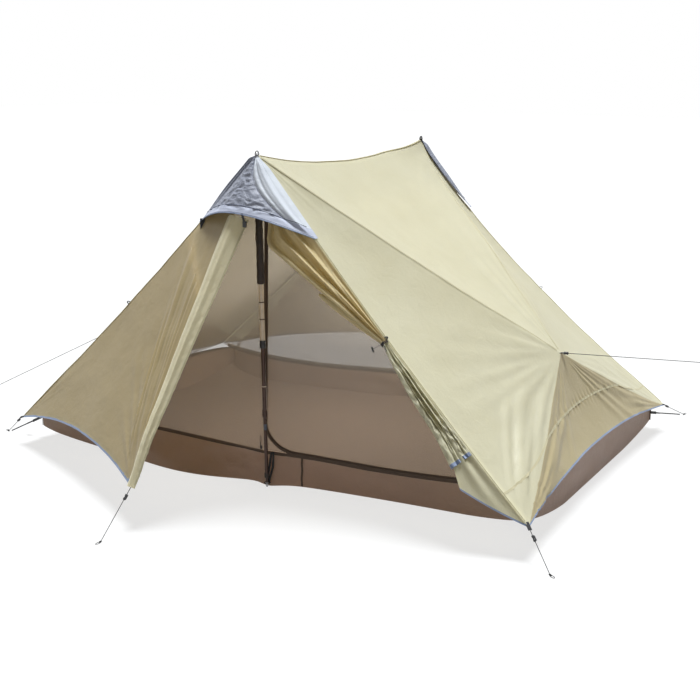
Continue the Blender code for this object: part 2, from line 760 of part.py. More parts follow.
def sliders(place_name, tip, turn):
    hinge, axis, zip_start = door_frame(-1, tip)
    down = (tip - zip_start).normalized()
    outward = axis.cross(down).normalized()
    centre = zip_start + down * SLIDER_FROM_END + outward * SLIDER_LIFT - outward.cross(down) * SLIDER_ASIDE
    slider("fly_zip_slider_" + place_name, centre, down, outward, BLACK, turn)
    foot = tub_front_edge(tub_top)(0.5)
    up = (INNER_PEAK - foot).normalized()
    centre = foot + up * SLIDER_FROM_FOOT + Vector((-SLIDER_ASIDE, -SLIDER_LIFT, 0))
    slider("inner_zip_slider_" + place_name, centre, up, Vector((0, -1, 0)), BLACK, turn)


for old in list(bpy.data.objects):
    bpy.data.objects.remove(old)
TENT = bpy.data.collections.new("trekking_pole_tent")
SHAPES = bpy.data.collections.new("joining_shapes")
bpy.context.scene.collection.children.link(TENT)
bpy.context.scene.collection.children.link(SHAPES)

KHAKI = material("khaki_nylon", (0.62, 0.57, 0.38), 0.55)
GREY = material("grey_nylon", (0.42, 0.45, 0.52), 0.5)
BROWN = material("brown_nylon", (0.17, 0.12, 0.08), 0.6)
MESH = material("dark_mesh", (0.10, 0.08, 0.06), 0.9)
BLACK = material("black_plastic", (0.02, 0.02, 0.02), 0.5)
CREAM = material("cream_tube", (0.75, 0.68, 0.55), 0.35, 0.3)
DARK = material("dark_tube", (0.05, 0.035, 0.03), 0.3, 0.6)
CORD = material("guy_cord", (0.05, 0.05, 0.05), 0.8)

ENDS = (("front", FRONT, -1, VESTIBULE), ("rear", REAR, 1, REAR_VESTIBULE))
for end_name, turning, left_side, foot in ENDS:
    front_panel("fly_" + end_name + "_left", left_side, turning)
    front_panel("fly_" + end_name + "_right", -left_side, turning)
    hood("hood_" + end_name, turning)
    tub_wall_long("inner_tub_" + end_name, turning)
    pole(end_name, turning)
    peak_cap(end_name, turning)
    sliders(end_name, foot, turning)
    mesh_half("inner_mesh_" + end_name, -1, turning)
    mesh_half("inner_door_" + end_name, 1, turning, INNER_DOOR_HINGE_ROOM, INNER_DOOR_FOOT_ROOM)

for side_name, turning in (("right", FRONT), ("left", REAR)):
    roof_panel("fly_roof_" + side_name, 1, turning)
    end_panel("fly_end_" + side_name, 1, turning)
    tub_wall_short("inner_tub_" + side_name, 1, turning)
    mesh_side("inner_mesh_" + side_name, 1, turning)

door("fly_door_front_left", -1, VESTIBULE, FRONT)
door("fly_door_rear_right", -1, REAR_VESTIBULE, REAR)
door("fly_door_rear_left", 1, REAR_VESTIBULE, REAR)
rolled_door()
front_head()
rear_head()
floor()
guy_lines()
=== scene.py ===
from math import cos, pi, radians, sin, tau

import bmesh
import bpy
import numpy as np
from mathutils import Matrix, Vector, noise


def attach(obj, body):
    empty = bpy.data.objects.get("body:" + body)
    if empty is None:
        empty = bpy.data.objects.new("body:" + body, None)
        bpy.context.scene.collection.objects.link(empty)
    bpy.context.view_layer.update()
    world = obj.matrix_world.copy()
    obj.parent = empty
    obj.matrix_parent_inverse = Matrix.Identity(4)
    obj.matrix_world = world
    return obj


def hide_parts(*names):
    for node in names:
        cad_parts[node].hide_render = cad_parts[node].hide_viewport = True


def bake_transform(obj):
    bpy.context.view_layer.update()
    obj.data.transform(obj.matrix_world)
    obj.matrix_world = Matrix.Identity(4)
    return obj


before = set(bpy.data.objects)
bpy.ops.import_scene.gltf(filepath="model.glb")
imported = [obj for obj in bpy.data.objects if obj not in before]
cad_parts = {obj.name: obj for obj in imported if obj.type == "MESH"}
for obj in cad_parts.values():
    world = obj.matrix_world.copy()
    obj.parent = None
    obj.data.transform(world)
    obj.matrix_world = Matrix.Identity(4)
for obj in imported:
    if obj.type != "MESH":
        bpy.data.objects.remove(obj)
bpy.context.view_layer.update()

# Two-pole tent: the looks of the canopy, hoods, doors, inner tent, poles and guy lines, in metres.
# -Y is the front. The rear half is the front half turned by 180 degrees about Z.

# Driving sizes of the canopy
PEAK_Y = 0.655
PEAK_Z = 1.27
CORNER_X = 1.168
VESTIBULE_Y = 1.255
CORNER_Y = PEAK_Y + 0.145
CORNER_Z = 0.113
GUY_X = CORNER_X - 0.206
GUY_Z = 0.504
VESTIBULE_X = -0.147
VESTIBULE_Z = 0.146
RIDGE_SAG = 0.063
DOOR_SEAM_SAG = 0.024
ROOF_SEAM_SAG = 0.012
FOLD_SAG = 0.012
END_HEM_RISE = 0.063
END_HEM_IN = 0.033
DOOR_HEM_RISE = 0.066
DOOR_HEM_IN = 0.040
PANEL_SAG = 0.014
CLOTH_THICKNESS = 0.0006
BINDING_WIDTH = 0.020
HEAD_SHARE = 0.25

# Hood
HOOD_LEFT_SHARE = 0.212
HOOD_RIGHT_SHARE = 0.232
HOOD_BRIM_OUT = 0.145
HOOD_BRIM_DROP = 0.198
HOOD_LIFT = 0.0035
HOOD_RIDGE = 0.013
HOOD_FLANGE = 0.014

# Inner tent
INNER_HALF_X = CORNER_X - 0.068
INNER_HALF_Y = PEAK_Y - 0.045
INNER_SKEW = 0.07
INNER_BULGE = 0.045
TUB_HEIGHT = 0.13
TUB_CORNER_HEIGHT = 0.165
INNER_PEAK_Y = PEAK_Y - 0.04
INNER_PEAK_Z = PEAK_Z - 0.10
INNER_RIDGE_SAG = 0.055
INNER_SIDE_SAG = 0.02

# Guy lines: where they start off the cloth, and how far they run from there to their pegs along X and Y
CORD_DIAMETER = 0.0025
CORD_POINTS = 8
CORD_START = 0.0001
MID_CORD_START = 0.0012
TENSIONER_FROM_END = 0.040
CORNER_RUNS = {(-1, -1): (-0.173, 0.079), (1, -1): (0.108, -0.077),
               (1, 1): (0.025, 0.265), (-1, 1): (-0.108, 0.077)}
VESTIBULE_RUN = 0.165


def spot(*place):
    return np.array(place, float)


UP = spot(0, 0, 1)
ACROSS = spot(1, 0, 0)
AHEAD = spot(0, -1, 0)
FRONT = spot(1, 1, 1)
REAR = spot(-1, -1, 1)
PEAK = spot(0, -PEAK_Y, PEAK_Z)
FAR_PEAK = PEAK * REAR
VESTIBULE = spot(VESTIBULE_X, -VESTIBULE_Y, VESTIBULE_Z)
REAR_VESTIBULE = spot(0, -VESTIBULE_Y, VESTIBULE_Z)
INNER_PEAK = spot(0, -INNER_PEAK_Y, INNER_PEAK_Z)

# Each end's zip foot and turn, and each closed door's side, zip foot and turn
ENDS = (("front", VESTIBULE, FRONT), ("rear", REAR_VESTIBULE, REAR))
DOORS = {"door_front_left": (-1, VESTIBULE, FRONT), "door_rear_right": (-1, REAR_VESTIBULE, REAR),
         "door_rear_left": (1, REAR_VESTIBULE, REAR)}
ZIP_DOORS = {"front": "door_front_left", "rear": "door_rear_right"}


def unit(vector):
    return vector / np.linalg.norm(vector)


def units(vectors):
    """Each vector of an array at length 1."""
    return vectors / np.linalg.norm(vectors, axis=-1, keepdims=True)


def square_to(axis, vector):
    """The direction of the part of a vector that is square to an axis."""
    return unit(vector - axis * (vector @ axis))


def corner(side, end=-1):
    return spot(side * CORNER_X, end * CORNER_Y, CORNER_Z)


def guy_point(side):
    return spot(side * GUY_X, 0, GUY_Z)


# Camera

CAMERA_PLACE = (2.428, -4.076, 1.597)
CAMERA_AZIMUTH = radians(30.71)
CAMERA_ELEVATION = radians(14.27)
CAMERA_LENS = 58.07
CAMERA_SENSOR = 36


def make_camera():
    camera = linked("camera", bpy.data.cameras.new("camera"))
    level = cos(CAMERA_ELEVATION)
    back = Vector((sin(CAMERA_AZIMUTH) * level, -cos(CAMERA_AZIMUTH) * level, sin(CAMERA_ELEVATION)))
    camera.location = CAMERA_PLACE
    camera.rotation_euler = back.to_track_quat("Z", "Y").to_euler()
    camera.data.lens = CAMERA_LENS
    camera.data.sensor_width = CAMERA_SENSOR
    bpy.context.scene.camera = camera


# Materials

# How far pointiness strays from flat before the painted fold highlights and painted shade are full
RIDGE_BEND = 0.04
RIPSTOP_PITCH = 0.006
RIPSTOP_WIDTH = 0.12
THREAD_PITCH = 0.0007
THREAD_HEIGHT = 0.00004
RIPSTOP_HEIGHT = 0.00006
CRINKLE_HEIGHT = 0.020
FINE_CRINKLE_HEIGHT = 0.004
NET_PITCH = 0.0016


def linear(red, green, blue):
    """A colour read as 0 to 255 on a screen, as the linear values that a shader takes."""
    shares = [value / 255 for value in (red, green, blue)]
    return (*[s / 12.92 if s < 0.04 else ((s + 0.055) / 1.055) ** 2.4 for s in shares], 1)


def plug(tree, socket, value):
    """Links a node's input to another node's socket, or gives it a value."""
    if isinstance(value, bpy.types.NodeSocket):
        tree.links.new(value, socket)
    else:
        socket.default_value = value


def add_node(tree, kind, settings=None, **inputs):
    """A shader node with its settings and inputs; an input is a value or another node's socket."""
    made = tree.nodes.new("ShaderNode" + kind)
    for key, value in (settings or {}).items():
        setattr(made, key, value)
    for key, value in inputs.items():
        plug(tree, made.inputs[key.replace("_", " ")], value)
    return made


def new_material(name):
    made = bpy.data.materials.new(name)
    made.use_nodes = True
    made.node_tree.nodes.clear()
    return made, made.node_tree


def object_place(tree):
    return add_node(tree, "TexCoord").outputs["Object"]


def cloth_place(tree):
    return add_node(tree, "UVMap", {"uv_map": "cloth"}).outputs[0]


def clouds(tree, place, scale, detail, roughness=0.5, distortion=0.0):
    """Soft noise from 0 to 1."""
    made = add_node(tree, "TexNoise", Vector=place, Scale=scale, Detail=detail, Roughness=roughness,
                    Distortion=distortion)
    return made.outputs["Fac"]


def shown(tree, shader):
    output = tree.nodes.new("ShaderNodeOutputMaterial")
    tree.links.new(shader, output.inputs["Surface"])


def math(tree, operation, first, second=0.0):
    made = add_node(tree, "Math", {"operation": operation})
    for socket, value in zip(made.inputs, (first, second)):
        plug(tree, socket, value)
    return made.outputs[0]


def weighted(tree, *terms):
    """The sum of sockets, each times its weight."""
    total = None
    for socket, weight in terms:
        product = math(tree, "MULTIPLY", socket, weight)
        total = product if total is None else math(tree, "ADD", total, product)
    return total


def ranged(tree, value, low, high, **limits):
    """A value from 0 to 1, or between other limits, brought to low to high."""
    return add_node(tree, "MapRange", Value=value, To_Min=low, To_Max=high, **limits).outputs[0]


def mixed(tree, factor, first, second):
    """A colour from the first at factor 0 to the second at 1."""
    made = add_node(tree, "Mix", {"data_type": "RGBA"}, Factor=factor)
    made.inputs[6].default_value = first
    made.inputs[7].default_value = second
    return made.outputs[2]


def both(tree, kind, first, second, **inputs):
    """Two shaders mixed or added."""
    made = add_node(tree, kind + "Shader", **inputs)
    for socket, shader in zip(list(made.inputs)[-2:], (first, second)):
        tree.links.new(shader.outputs[0], socket)
    return made.outputs[0]


def threads(tree, place, pitch):
    """The place along X and Y, counted in threads of this pitch."""
    scaled = add_node(tree, "Mapping", Vector=place, Scale=(1 / pitch, 1 / pitch, 1))
    return add_node(tree, "SeparateXYZ", Vector=scaled.outputs[0]).outputs


def weave(tree, place, pitch):
    """Threads over and under each other, as a height, at this pitch along both axes of the map."""
    along = threads(tree, place, pitch)
    warp, weft = [math(tree, "SINE", math(tree, "MULTIPLY", along[axis], pi)) for axis in (0, 1)]
    return math(tree, "MULTIPLY", warp, weft)


def ripstop(tree, place, pitch, width):
    """Thicker threads in a square grid: 1 on a thread and 0 between them."""
    along = threads(tree, place, pitch)
    lines = [math(tree, "LESS_THAN", math(tree, "FRACT", along[axis]), width) for axis in (0, 1)]
    return math(tree, "MAXIMUM", *lines)


def ridges(tree, gain):
    """Painted highlights on the crests of folds and painted shade in their valleys, as a factor about 1."""
    bend = add_node(tree, "NewGeometry").outputs["Pointiness"]
    return ranged(tree, bend, 1 - gain, 1 + gain, From_Min=0.5 - RIDGE_BEND, From_Max=0.5 + RIDGE_BEND)


def nylon(name, colour, shade, roughness=0.42, crinkle=0.25, glow=0.18, ridge=0.0):
    """Coated nylon: a fine ripstop weave, soft mottling towards shade, crinkles, and light let through."""
    made, tree = new_material(name)
    cloth_map = cloth_place(tree)
    place = object_place(tree)
    mottle = clouds(tree, place, 5.0, 4.0, 0.6)
    grid = ripstop(tree, cloth_map, RIPSTOP_PITCH, RIPSTOP_WIDTH)
    amount = weighted(tree, (mottle, 0.7), (clouds(tree, place, 160.0, 2.0), 0.2), (grid, 0.07))
    tint = mixed(tree, math(tree, "SUBTRACT", amount, 0.18), linear(*colour), linear(*shade))
    # ridge: painted highlight on fold crests and painted shade in fold valleys, scaled into the colour
    if ridge:
        tint = add_node(tree, "VectorMath", {"operation": "SCALE"}, Vector=tint,
                        Scale=ridges(tree, ridge)).outputs[0]
    height = weighted(tree, (clouds(tree, place, 22.0, 5.0, 0.55, 0.6), crinkle * CRINKLE_HEIGHT),
                      (clouds(tree, place, 75.0, 3.0, 0.5, 1.2), crinkle * FINE_CRINKLE_HEIGHT),
                      (weave(tree, cloth_map, THREAD_PITCH), THREAD_HEIGHT), (grid, RIPSTOP_HEIGHT))
    bump = add_node(tree, "Bump", Height=height, Strength=1.0, Distance=1.0).outputs[0]
    gloss = ranged(tree, mottle, roughness - 0.06, roughness + 0.08)
    face = add_node(tree, "BsdfPrincipled", Base_Color=tint, Roughness=gloss, Normal=bump,
                    Sheen_Weight=0.15, Sheen_Roughness=0.4)
    through = add_node(tree, "BsdfTranslucent", Color=tint, Normal=bump)
    shown(tree, both(tree, "Mix", face, through, Fac=glow))
    return made


def netting(name, colour, cover):
    """Fine insect net: threads with air between them, its cover varying with the weave."""
    made, tree = new_material(name)
    holes = weave(tree, cloth_place(tree), NET_PITCH)
    patchy = clouds(tree, object_place(tree), 4.0, 3.0)
    amount = math(tree, "MULTIPLY", math(tree, "ABSOLUTE", holes), -0.16)
    amount = math(tree, "ADD", amount, cover + 0.05)
    amount = math(tree, "ADD", amount, math(tree, "MULTIPLY", patchy, 0.05))
    face = add_node(tree, "BsdfPrincipled", Roughness=0.8, Alpha=amount, Base_Color=linear(*colour),
                    Sheen_Weight=0.3)
    shown(tree, face.outputs[0])
    return made


def worn(tree, wear, colour, light, extra, dark):
    """A colour that wear takes from a lighter to a darker shade of it."""
    return mixed(tree, wear, linear(*[min(255, c * light + extra) for c in colour]),
                 linear(*[c * dark for c in colour]))


def webbing(name, colour):
    """Woven tape or cord: ribs across its length over a slight unevenness of colour."""
    made, tree = new_material(name)
    place = object_place(tree)
    ribs = add_node(tree, "TexWave", {"wave_type": "BANDS", "bands_direction": "DIAGONAL"}, Vector=place,
                    Scale=260.0, Distortion=1.0)
    tint = worn(tree, clouds(tree, place, 60.0, 3.0), colour, 1.25, 6, 0.8)
    bump = add_node(tree, "Bump", Height=ribs.outputs["Fac"], Strength=0.5, Distance=0.0006)
    face = add_node(tree, "BsdfPrincipled", Base_Color=tint, Roughness=0.75, Normal=bump.outputs[0])
    shown(tree, face.outputs[0])
    return made


def hard(name, colour, roughness, metallic=0.0, grain=0.0002, coat=0.0):
    """Moulded plastic, painted tube or metal, with fine grain and uneven gloss."""
    made, tree = new_material(name)
    place = object_place(tree)
    wear = clouds(tree, place, 45.0, 5.0, 0.65)
    tint = worn(tree, wear, colour, 1.12, 4, 0.88)
    gloss = ranged(tree, wear, max(0.05, roughness - 0.1), roughness + 0.1)
    bump = add_node(tree, "Bump", Height=clouds(tree, place, 900.0, 2.0), Strength=0.4, Distance=grain)
    face = add_node(tree, "BsdfPrincipled", Base_Color=tint, Roughness=gloss, Metallic=metallic,
                    Normal=bump.outputs[0], Coat_Weight=coat)
    shown(tree, face.outputs[0])
    return made


# ridge sets the strength of the painted highlight on fold crests and painted shade in fold valleys
KHAKI = nylon("khaki_nylon", (231, 228, 206), (217, 212, 182), crinkle=0.10, glow=0.36, ridge=0.12)
# The khaki with painted shade: darker and warmer, for the doors and door heads, which face away from the
# light
SHADED = nylon("khaki_door_painted_shade", (200, 183, 140), (184, 166, 121), roughness=0.36, crinkle=0.10, glow=0.30,
               ridge=0.20)
# The khaki with a painted backlight: warmer and more saturated, for the rolled door above its tie
BACKLIT_ROLL = nylon("khaki_rolled_painted_backlight", (238, 226, 186), (218, 202, 154), roughness=0.36, crinkle=0.2, glow=0.35)
# The khaki with painted shade: darker and warmer, for the end panels, which face the light less
SHADED_END = nylon("khaki_end_painted_shade", (212, 200, 162), (195, 180, 136), roughness=0.38, crinkle=0.10, glow=0.30,
              ridge=0.16)
# The khaki with painted light: much lighter, for the storm flaps, which face away from the light
LIT_FLAP = nylon("flap_nylon_painted_light", (250, 246, 222), (226, 215, 176), crinkle=0.15, glow=0.3)
SEAM = nylon("seam_nylon", (224, 217, 184), (206, 197, 158), crinkle=0.1)
HOOD = nylon("grey_nylon", (172, 177, 192), (146, 151, 168), crinkle=0.5, glow=0.2)
# The hood's grey with painted light: much lighter, for the hood past its crease
HOOD_PAINTED_LIGHT = nylon("grey_painted_light", (238, 243, 250), (222, 229, 242), roughness=0.32, crinkle=0.15, glow=0.15)
BRIM = nylon("grey_brim", (204, 210, 228), (180, 187, 208), roughness=0.5, crinkle=0.15, glow=0.0)
BINDING = nylon("binding", (148, 164, 194), (124, 139, 170), roughness=0.6, crinkle=0.1, glow=0.0)
TUB = nylon("brown_nylon", (212, 190, 175), (190, 167, 151), roughness=0.38, crinkle=0.15, glow=0.35)
STITCH = nylon("stitching", (92, 100, 124), (78, 86, 108), roughness=0.7, crinkle=0.0, glow=0.0)
TAPE = nylon("zip_tape", (92, 75, 62), (74, 60, 49), roughness=0.7, crinkle=0.05, glow=0.0)
NET_TAPE = nylon("net_tape", (112, 98, 86), (94, 82, 72), roughness=0.7, crinkle=0.05, glow=0.2)
NET = netting("dark_mesh", (184, 179, 174), 0.40)
WEB = webbing("black_webbing", (34, 34, 36))
CORD = webbing("guy_cord", (40, 40, 42))
PLASTIC = hard("black_plastic", (30, 30, 32), 0.45)
RUBBER = hard("grip_rubber", (44, 36, 32), 0.7, grain=0.0006)
CREAM = hard("cream_tube", (226, 208, 188), 0.35, coat=0.3)
DARK = hard("dark_tube", (62, 44, 36), 0.3, metallic=0.5)
SLATE = hard("slate_ring", (74, 80, 94), 0.5)
STEEL = hard("steel_tip", (150, 150, 152), 0.3, metallic=1.0)


# Curves and surfaces: a curve takes an array of shares, a surface takes two

def arc(start, end, bow):
    """A curve from start to end, drawn aside by bow at its middle."""
    def curve(t):
        t = np.asarray(t, float)[..., None]
        return start + (end - start) * t + bow * (4 * t * (1 - t))
    return curve


def sagging(start, end, sag=0.0):
    """A curve from start to end that hangs by sag at its middle."""
    return arc(start, end, -UP * sag)


def part_of(curve, start, end):
    return lambda t: curve(start + (end - start) * np.asarray(t, float))


def point_edge(point):
    return lambda t: point + 0 * np.asarray(t, float)[..., None]


def patch(left, right, top, bottom):
    """A surface over four edges: left and right run downwards, top and bottom from left to right."""
    def surface(u, v):
        down = np.asarray(u, float)[..., None]
        over = np.asarray(v, float)[..., None]
        across = left(u) * (1 - over) + right(u) * over
        along = top(v) * (1 - down) + bottom(v) * down
        upper = left(0 * u) * (1 - over) + right(0 * u) * over
        lower = left(0 * u + 1) * (1 - over) + right(0 * u + 1) * over
        return across + along - upper * (1 - down) - lower * down
    return surface


def between(top, bottom):
    """A surface from one curve down to another, with straight sides."""
    return patch(sagging(top(0.0), bottom(0.0)), sagging(top(1.0), bottom(1.0)), top, bottom)


def smooth(share):
    share = np.clip(share, 0, 1)
    return share * share * (3 - 2 * share)


def hollowed(surface, depth, outward):
    """The same surface, drawn inwards by depth in its middle."""
    def drawn(u, v):
        push = depth * np.sin(pi * u) * np.sin(pi * v)
        return surface(u, v) - outward * push[..., None]
    return drawn


# Seams

def roof_seam(side):
    return sagging(PEAK, guy_point(side), ROOF_SEAM_SAG)


def door_seam(side):
    return sagging(PEAK, corner(side), DOOR_SEAM_SAG)


def corner_fold(side, end=-1):
    return sagging(guy_point(side), corner(side, end), FOLD_SAG)


def end_hem(side):
    return arc(corner(side, -1), corner(side, 1), spot(-side * END_HEM_IN, 0, END_HEM_RISE))


def door_hem(side, tip):
    return arc(corner(side), tip, spot(0, DOOR_HEM_IN, DOOR_HEM_RISE))


def door_frame(side, tip):
    """Where the door's hinge starts on the seam, its axis, and where the zip starts below the head."""
    hinge = door_seam(side)(HEAD_SHARE)
    axis = unit(corner(side) - hinge)
    down_zip = tip - PEAK
    share = (hinge - PEAK) @ axis / (down_zip @ axis)
    return hinge, axis, PEAK + down_zip * share


# Which way the right panels face, the doors between them, and the zip with its flap and hood
ROOF_OUT = spot(0.623, 0, 0.782)
FRONT_OUT = spot(0.683, -0.171, 0.71)
END_OUT = spot(0.885, 0, 0.466)
DOOR_OUT = spot(0.3, -0.8, 0.47)
ZIP_OUT = unit(spot(0, -0.85, 0.5))


def mirrored_x(vector, side):
    return vector * spot(side, 1, 1)


def roof_surface(side):
    ridge = sagging(PEAK, FAR_PEAK, RIDGE_SAG)
    far_seam = sagging(FAR_PEAK, guy_point(side), ROOF_SEAM_SAG)
    surface = patch(roof_seam(side), far_seam, ridge, point_edge(guy_point(side)))
    return hollowed(surface, PANEL_SAG, mirrored_x(ROOF_OUT, side))


def front_surface(side):
    surface = patch(roof_seam(side), door_seam(side), point_edge(PEAK), corner_fold(side))
    return hollowed(surface, PANEL_SAG, mirrored_x(FRONT_OUT, side))


def end_surface(side):
    surface = patch(corner_fold(side, -1), corner_fold(side, 1), point_edge(guy_point(side)), end_hem(side))
    return hollowed(surface, PANEL_SAG / 2, mirrored_x(END_OUT, side))


def head_surface(side, tip):
    hinge, axis, zip_start = door_frame(side, tip)
    seam = part_of(door_seam(side), 0, HEAD_SHARE)
    return patch(seam, sagging(PEAK, zip_start), point_edge(PEAK), sagging(hinge, zip_start))


def door_surface(side, tip):
    hinge, axis, zip_start = door_frame(side, tip)
    seam = part_of(door_seam(side), HEAD_SHARE, 1)
    return patch(seam, sagging(zip_start, tip), sagging(hinge, zip_start), door_hem(side, tip))


# Folds that the pulled points draw into the canopy, as a push for each point

FAN_RISE = 0.25
FOLD_STEEPNESS = 0.55


def fan(origin, towards, outward, spread, count, height, reach, seed):
    """Folds that run out from a point that pulls the cloth, widening as they fade."""
    chance = np.random.default_rng(seed)
    outward = unit(outward)
    along = square_to(outward, towards)
    side = np.cross(outward, along)
    angles = np.linspace(-spread, spread, count) + chance.uniform(-0.4, 0.4, count) * 2 * spread / count
    widths = spread / count * chance.uniform(0.5, 1.1, count)
    heights = height * chance.uniform(0.35, 1, count)
    reaches = reach * chance.uniform(0.55, 1, count)

    def push(points):
        offset = points - origin
        x = offset @ along
        y = offset @ side
        distance = np.hypot(x, y)
        bearing = np.arctan2(y, x)
        total = 0 * distance
        for angle, width, rise, length in zip(angles, widths, heights, reaches):
            run = distance / length
            ridge = np.exp(-(((bearing - angle) / width) ** 2))
            low = np.minimum(rise, FOLD_STEEPNESS * width * distance)
            total = total + low * ridge * smooth(run / FAN_RISE) * np.clip(1 - run, 0, 1)
        return total[..., None] * outward
    return push


def pleats(start, stop, outward, first, last, count, height, seed):
    """Nearly parallel folds beside the line from start to stop, drawn together towards its end."""
    chance = np.random.default_rng(seed)
    length = float(np.linalg.norm(stop - start))
    along = (stop - start) / length
    side = unit(np.cross(unit(outward), along))
    places = np.linspace(first, last, count) + chance.uniform(-0.4, 0.4, count) * (last - first) / count
    widths = abs(last - first) / count * chance.uniform(0.36, 0.52, count)
    heights = height * chance.uniform(0.5, 1, count)
    starts = chance.uniform(0.12, 0.42, count)

    def push(points):
        offset = points - start
        share = offset @ along / length
        aside = offset @ side
        total = 0 * share
        for place, width, rise, begin in zip(places, widths, heights, starts):
            pull = 1 - 0.75 * np.clip(share, 0, 1) ** 2
            fold = np.exp(-(((aside - place * pull) / (width * (0.35 + 0.65 * pull))) ** 2))
            total = total + rise * fold * smooth((share - begin) / 0.25) * smooth((1.0 - share) / 0.22)
        return total[..., None] * outward
    return push


def canopy_fans():
    fans = []
    for turn, seed in ((FRONT, 10), (REAR, 40)):
        near = guy_point(1) * turn
        out = spot(0.76, -0.05, 0.64) * turn
        down_front = (corner(1) - guy_point(1)) * turn
        down_rear = (corner(1, 1) - guy_point(1)) * turn
        up_rear = (FAR_PEAK - guy_point(1)) * turn
        level = spot(-0.38, -0.73, 0.15) * turn
        fans += [
            fan(near, down_front, out, 0.40, 8, 0.016, 0.88, seed),
            fan(near, down_rear, out, 0.34, 8, 0.018, 0.88, seed + 1),
            pleats(near, corner(1) * turn, unit(out), -0.20, 0.10, 8, 0.0085, seed + 9),
            fan(near, level, out, 0.50, 6, 0.008, 0.80, seed + 2),
            fan(near, up_rear, out, 0.24, 5, 0.011, 1.25, seed + 3),
            fan(corner(1, 1) * turn, -down_rear, out, 0.30, 6, 0.017, 0.60, seed + 4),
            fan(corner(1) * turn, -down_front, out, 0.30, 6, 0.012, 0.62, seed + 5),
            fan(FAR_PEAK * turn, -up_rear, out, 0.40, 7, 0.007, 0.75, seed + 6),
            fan(PEAK * turn, (guy_point(1) - PEAK) * turn, out, 0.35, 5, 0.004, 0.60, seed + 7),
        ]
    for tip, turn, seed in ((VESTIBULE, FRONT, 71), (REAR_VESTIBULE, REAR, 81)):
        out = spot(-0.371, -0.798, 0.474) * turn
        up_zip = (PEAK - tip) * turn
        inwards = (corner(-1) - tip) * turn
        lean = unit(up_zip) * 0.98 + unit(inwards) * 0.16
        fans.append(fan(tip * turn, lean, out, 0.15, 7, 0.012, 1.15, seed))
        wider = unit(up_zip) + unit(inwards) * 0.6
        fans.append(fan(tip * turn, wider, out, 0.28, 5, 0.007, 0.8, seed + 1))
        fans.append(fan(corner(-1) * turn, (PEAK - corner(-1)) * turn, out, 0.25, 5, 0.005, 0.7, seed + 2))
        fans.append(pleats(PEAK * turn, tip * turn, out, -0.05, -0.27, 8, 0.013, seed + 3))
    other = spot(0.30, -0.82, 0.474) * REAR
    up_zip = (PEAK - REAR_VESTIBULE) * REAR
    inwards = (corner(1) - REAR_VESTIBULE) * REAR
    lean = unit(up_zip) + unit(inwards) * 0.25
    fans.append(fan(REAR_VESTIBULE * REAR, lean, other, 0.2, 7, 0.010, 1.1, 91))
    fans.append(pleats(PEAK * REAR, REAR_VESTIBULE * REAR, other, 0.05, 0.27, 8, 0.013, 92))
    return fans


FANS = canopy_fans()

LOW_SEAM = 0.52
LOW_SEAM_RISE = 0.085
PUCKER = 0.0007
GATHER = 0.0018
GATHER_REACH = 0.024
GATHER_PITCH = 0.036
GATHER_DRIFT = 0.07
GATHER_ROOM = 0.09


def run_along(path):
    """The distance along a path at each of its points."""
    return np.concatenate([[0], np.cumsum(np.linalg.norm(np.diff(path, axis=0), axis=1))])


def low_seam_lines():
    """The plain lines of the puckered seams, each half's across its two front panels and then its end."""
    share = np.linspace(0, 1, 60)
    lines = []
    for turn in (FRONT, REAR):
        for side in (-1, 1):
            path = front_surface(side)(1 - LOW_SEAM_RISE * share ** 1.5,
                                       LOW_SEAM + (0.995 - LOW_SEAM) * share)
            lines.append((path * turn, mirrored_x(FRONT_OUT, side) * turn))
        path = end_surface(1)(np.full(110, LOW_SEAM), np.linspace(0.003, 0.997, 110))
        lines.append((path * turn, END_OUT * turn))
    return lines


LOW_SEAMS = low_seam_lines()
# The last of each half's three seams
END_SEAMS = LOW_SEAMS[2::3]


def gathered_seams(points):
    """Short creases across the end panels' seams, where their stitches draw the cloth together."""
    flat = points.reshape(-1, 3)
    total = np.zeros(flat.shape)
    for path, outward in END_SEAMS:
        low = path.min(0) - GATHER_ROOM
        high = path.max(0) + GATHER_ROOM
        near = np.flatnonzero(np.all((flat > low) & (flat < high), axis=1))
        if not len(near):
            continue
        away = np.linalg.norm(flat[near, None] - path[None, ::2], axis=-1)
        run = run_along(path)[::2][away.argmin(1)]
        wave = np.sin(tau * run / GATHER_PITCH + 3 * np.sin(run / GATHER_DRIFT))
        height = GATHER * wave * np.exp(-((away.min(1) / GATHER_REACH) ** 2))
        total[near] += height[:, None] * unit(outward)
    return total.reshape(points.shape)


# How the rear right seam hangs lower than the others, and how far the rear peak has settled
SAG_MORE = 0.078
SAG_FULLEST = 0.34
SAG_REACH = 0.45
PEAK_DROP = 0.017
PEAK_DROP_REACH = 0.40


def settle(points):
    """The points of the rear right of the tent, let down where its cloth hangs slack."""
    chord = corner(1, 1) - FAR_PEAK
    length = np.linalg.norm(chord)
    offset = points - FAR_PEAK
    share = np.clip(offset @ chord / length ** 2, 0, 1)
    away = np.linalg.norm(offset - share[..., None] * chord, axis=-1)
    skew = np.log(0.5) / np.log(SAG_FULLEST)
    drop = SAG_MORE * np.sin(pi * share ** skew) * smooth(1 - away / SAG_REACH)
    near = smooth(1 - np.linalg.norm(offset, axis=-1) / PEAK_DROP_REACH)
    return points - UP * np.maximum(drop, 0)[..., None] - UP * (PEAK_DROP * near)[..., None]


SWELL_CENTRE = spot(0, 0, -0.2)
SWELL_LAYERS = ((0.33, 0.0040, 3.1), (0.12, 0.0020, 7.7), (0.05, 0.0006, 1.3))


def uneven(points, size, height, shift):
    """Smooth noise of this height, one value a point, with features of this size."""
    places = points.reshape(-1, 3) / size + shift
    values = [noise.noise(Vector(place)) for place in places]
    return height * np.array(values).reshape(points.shape[:-1])


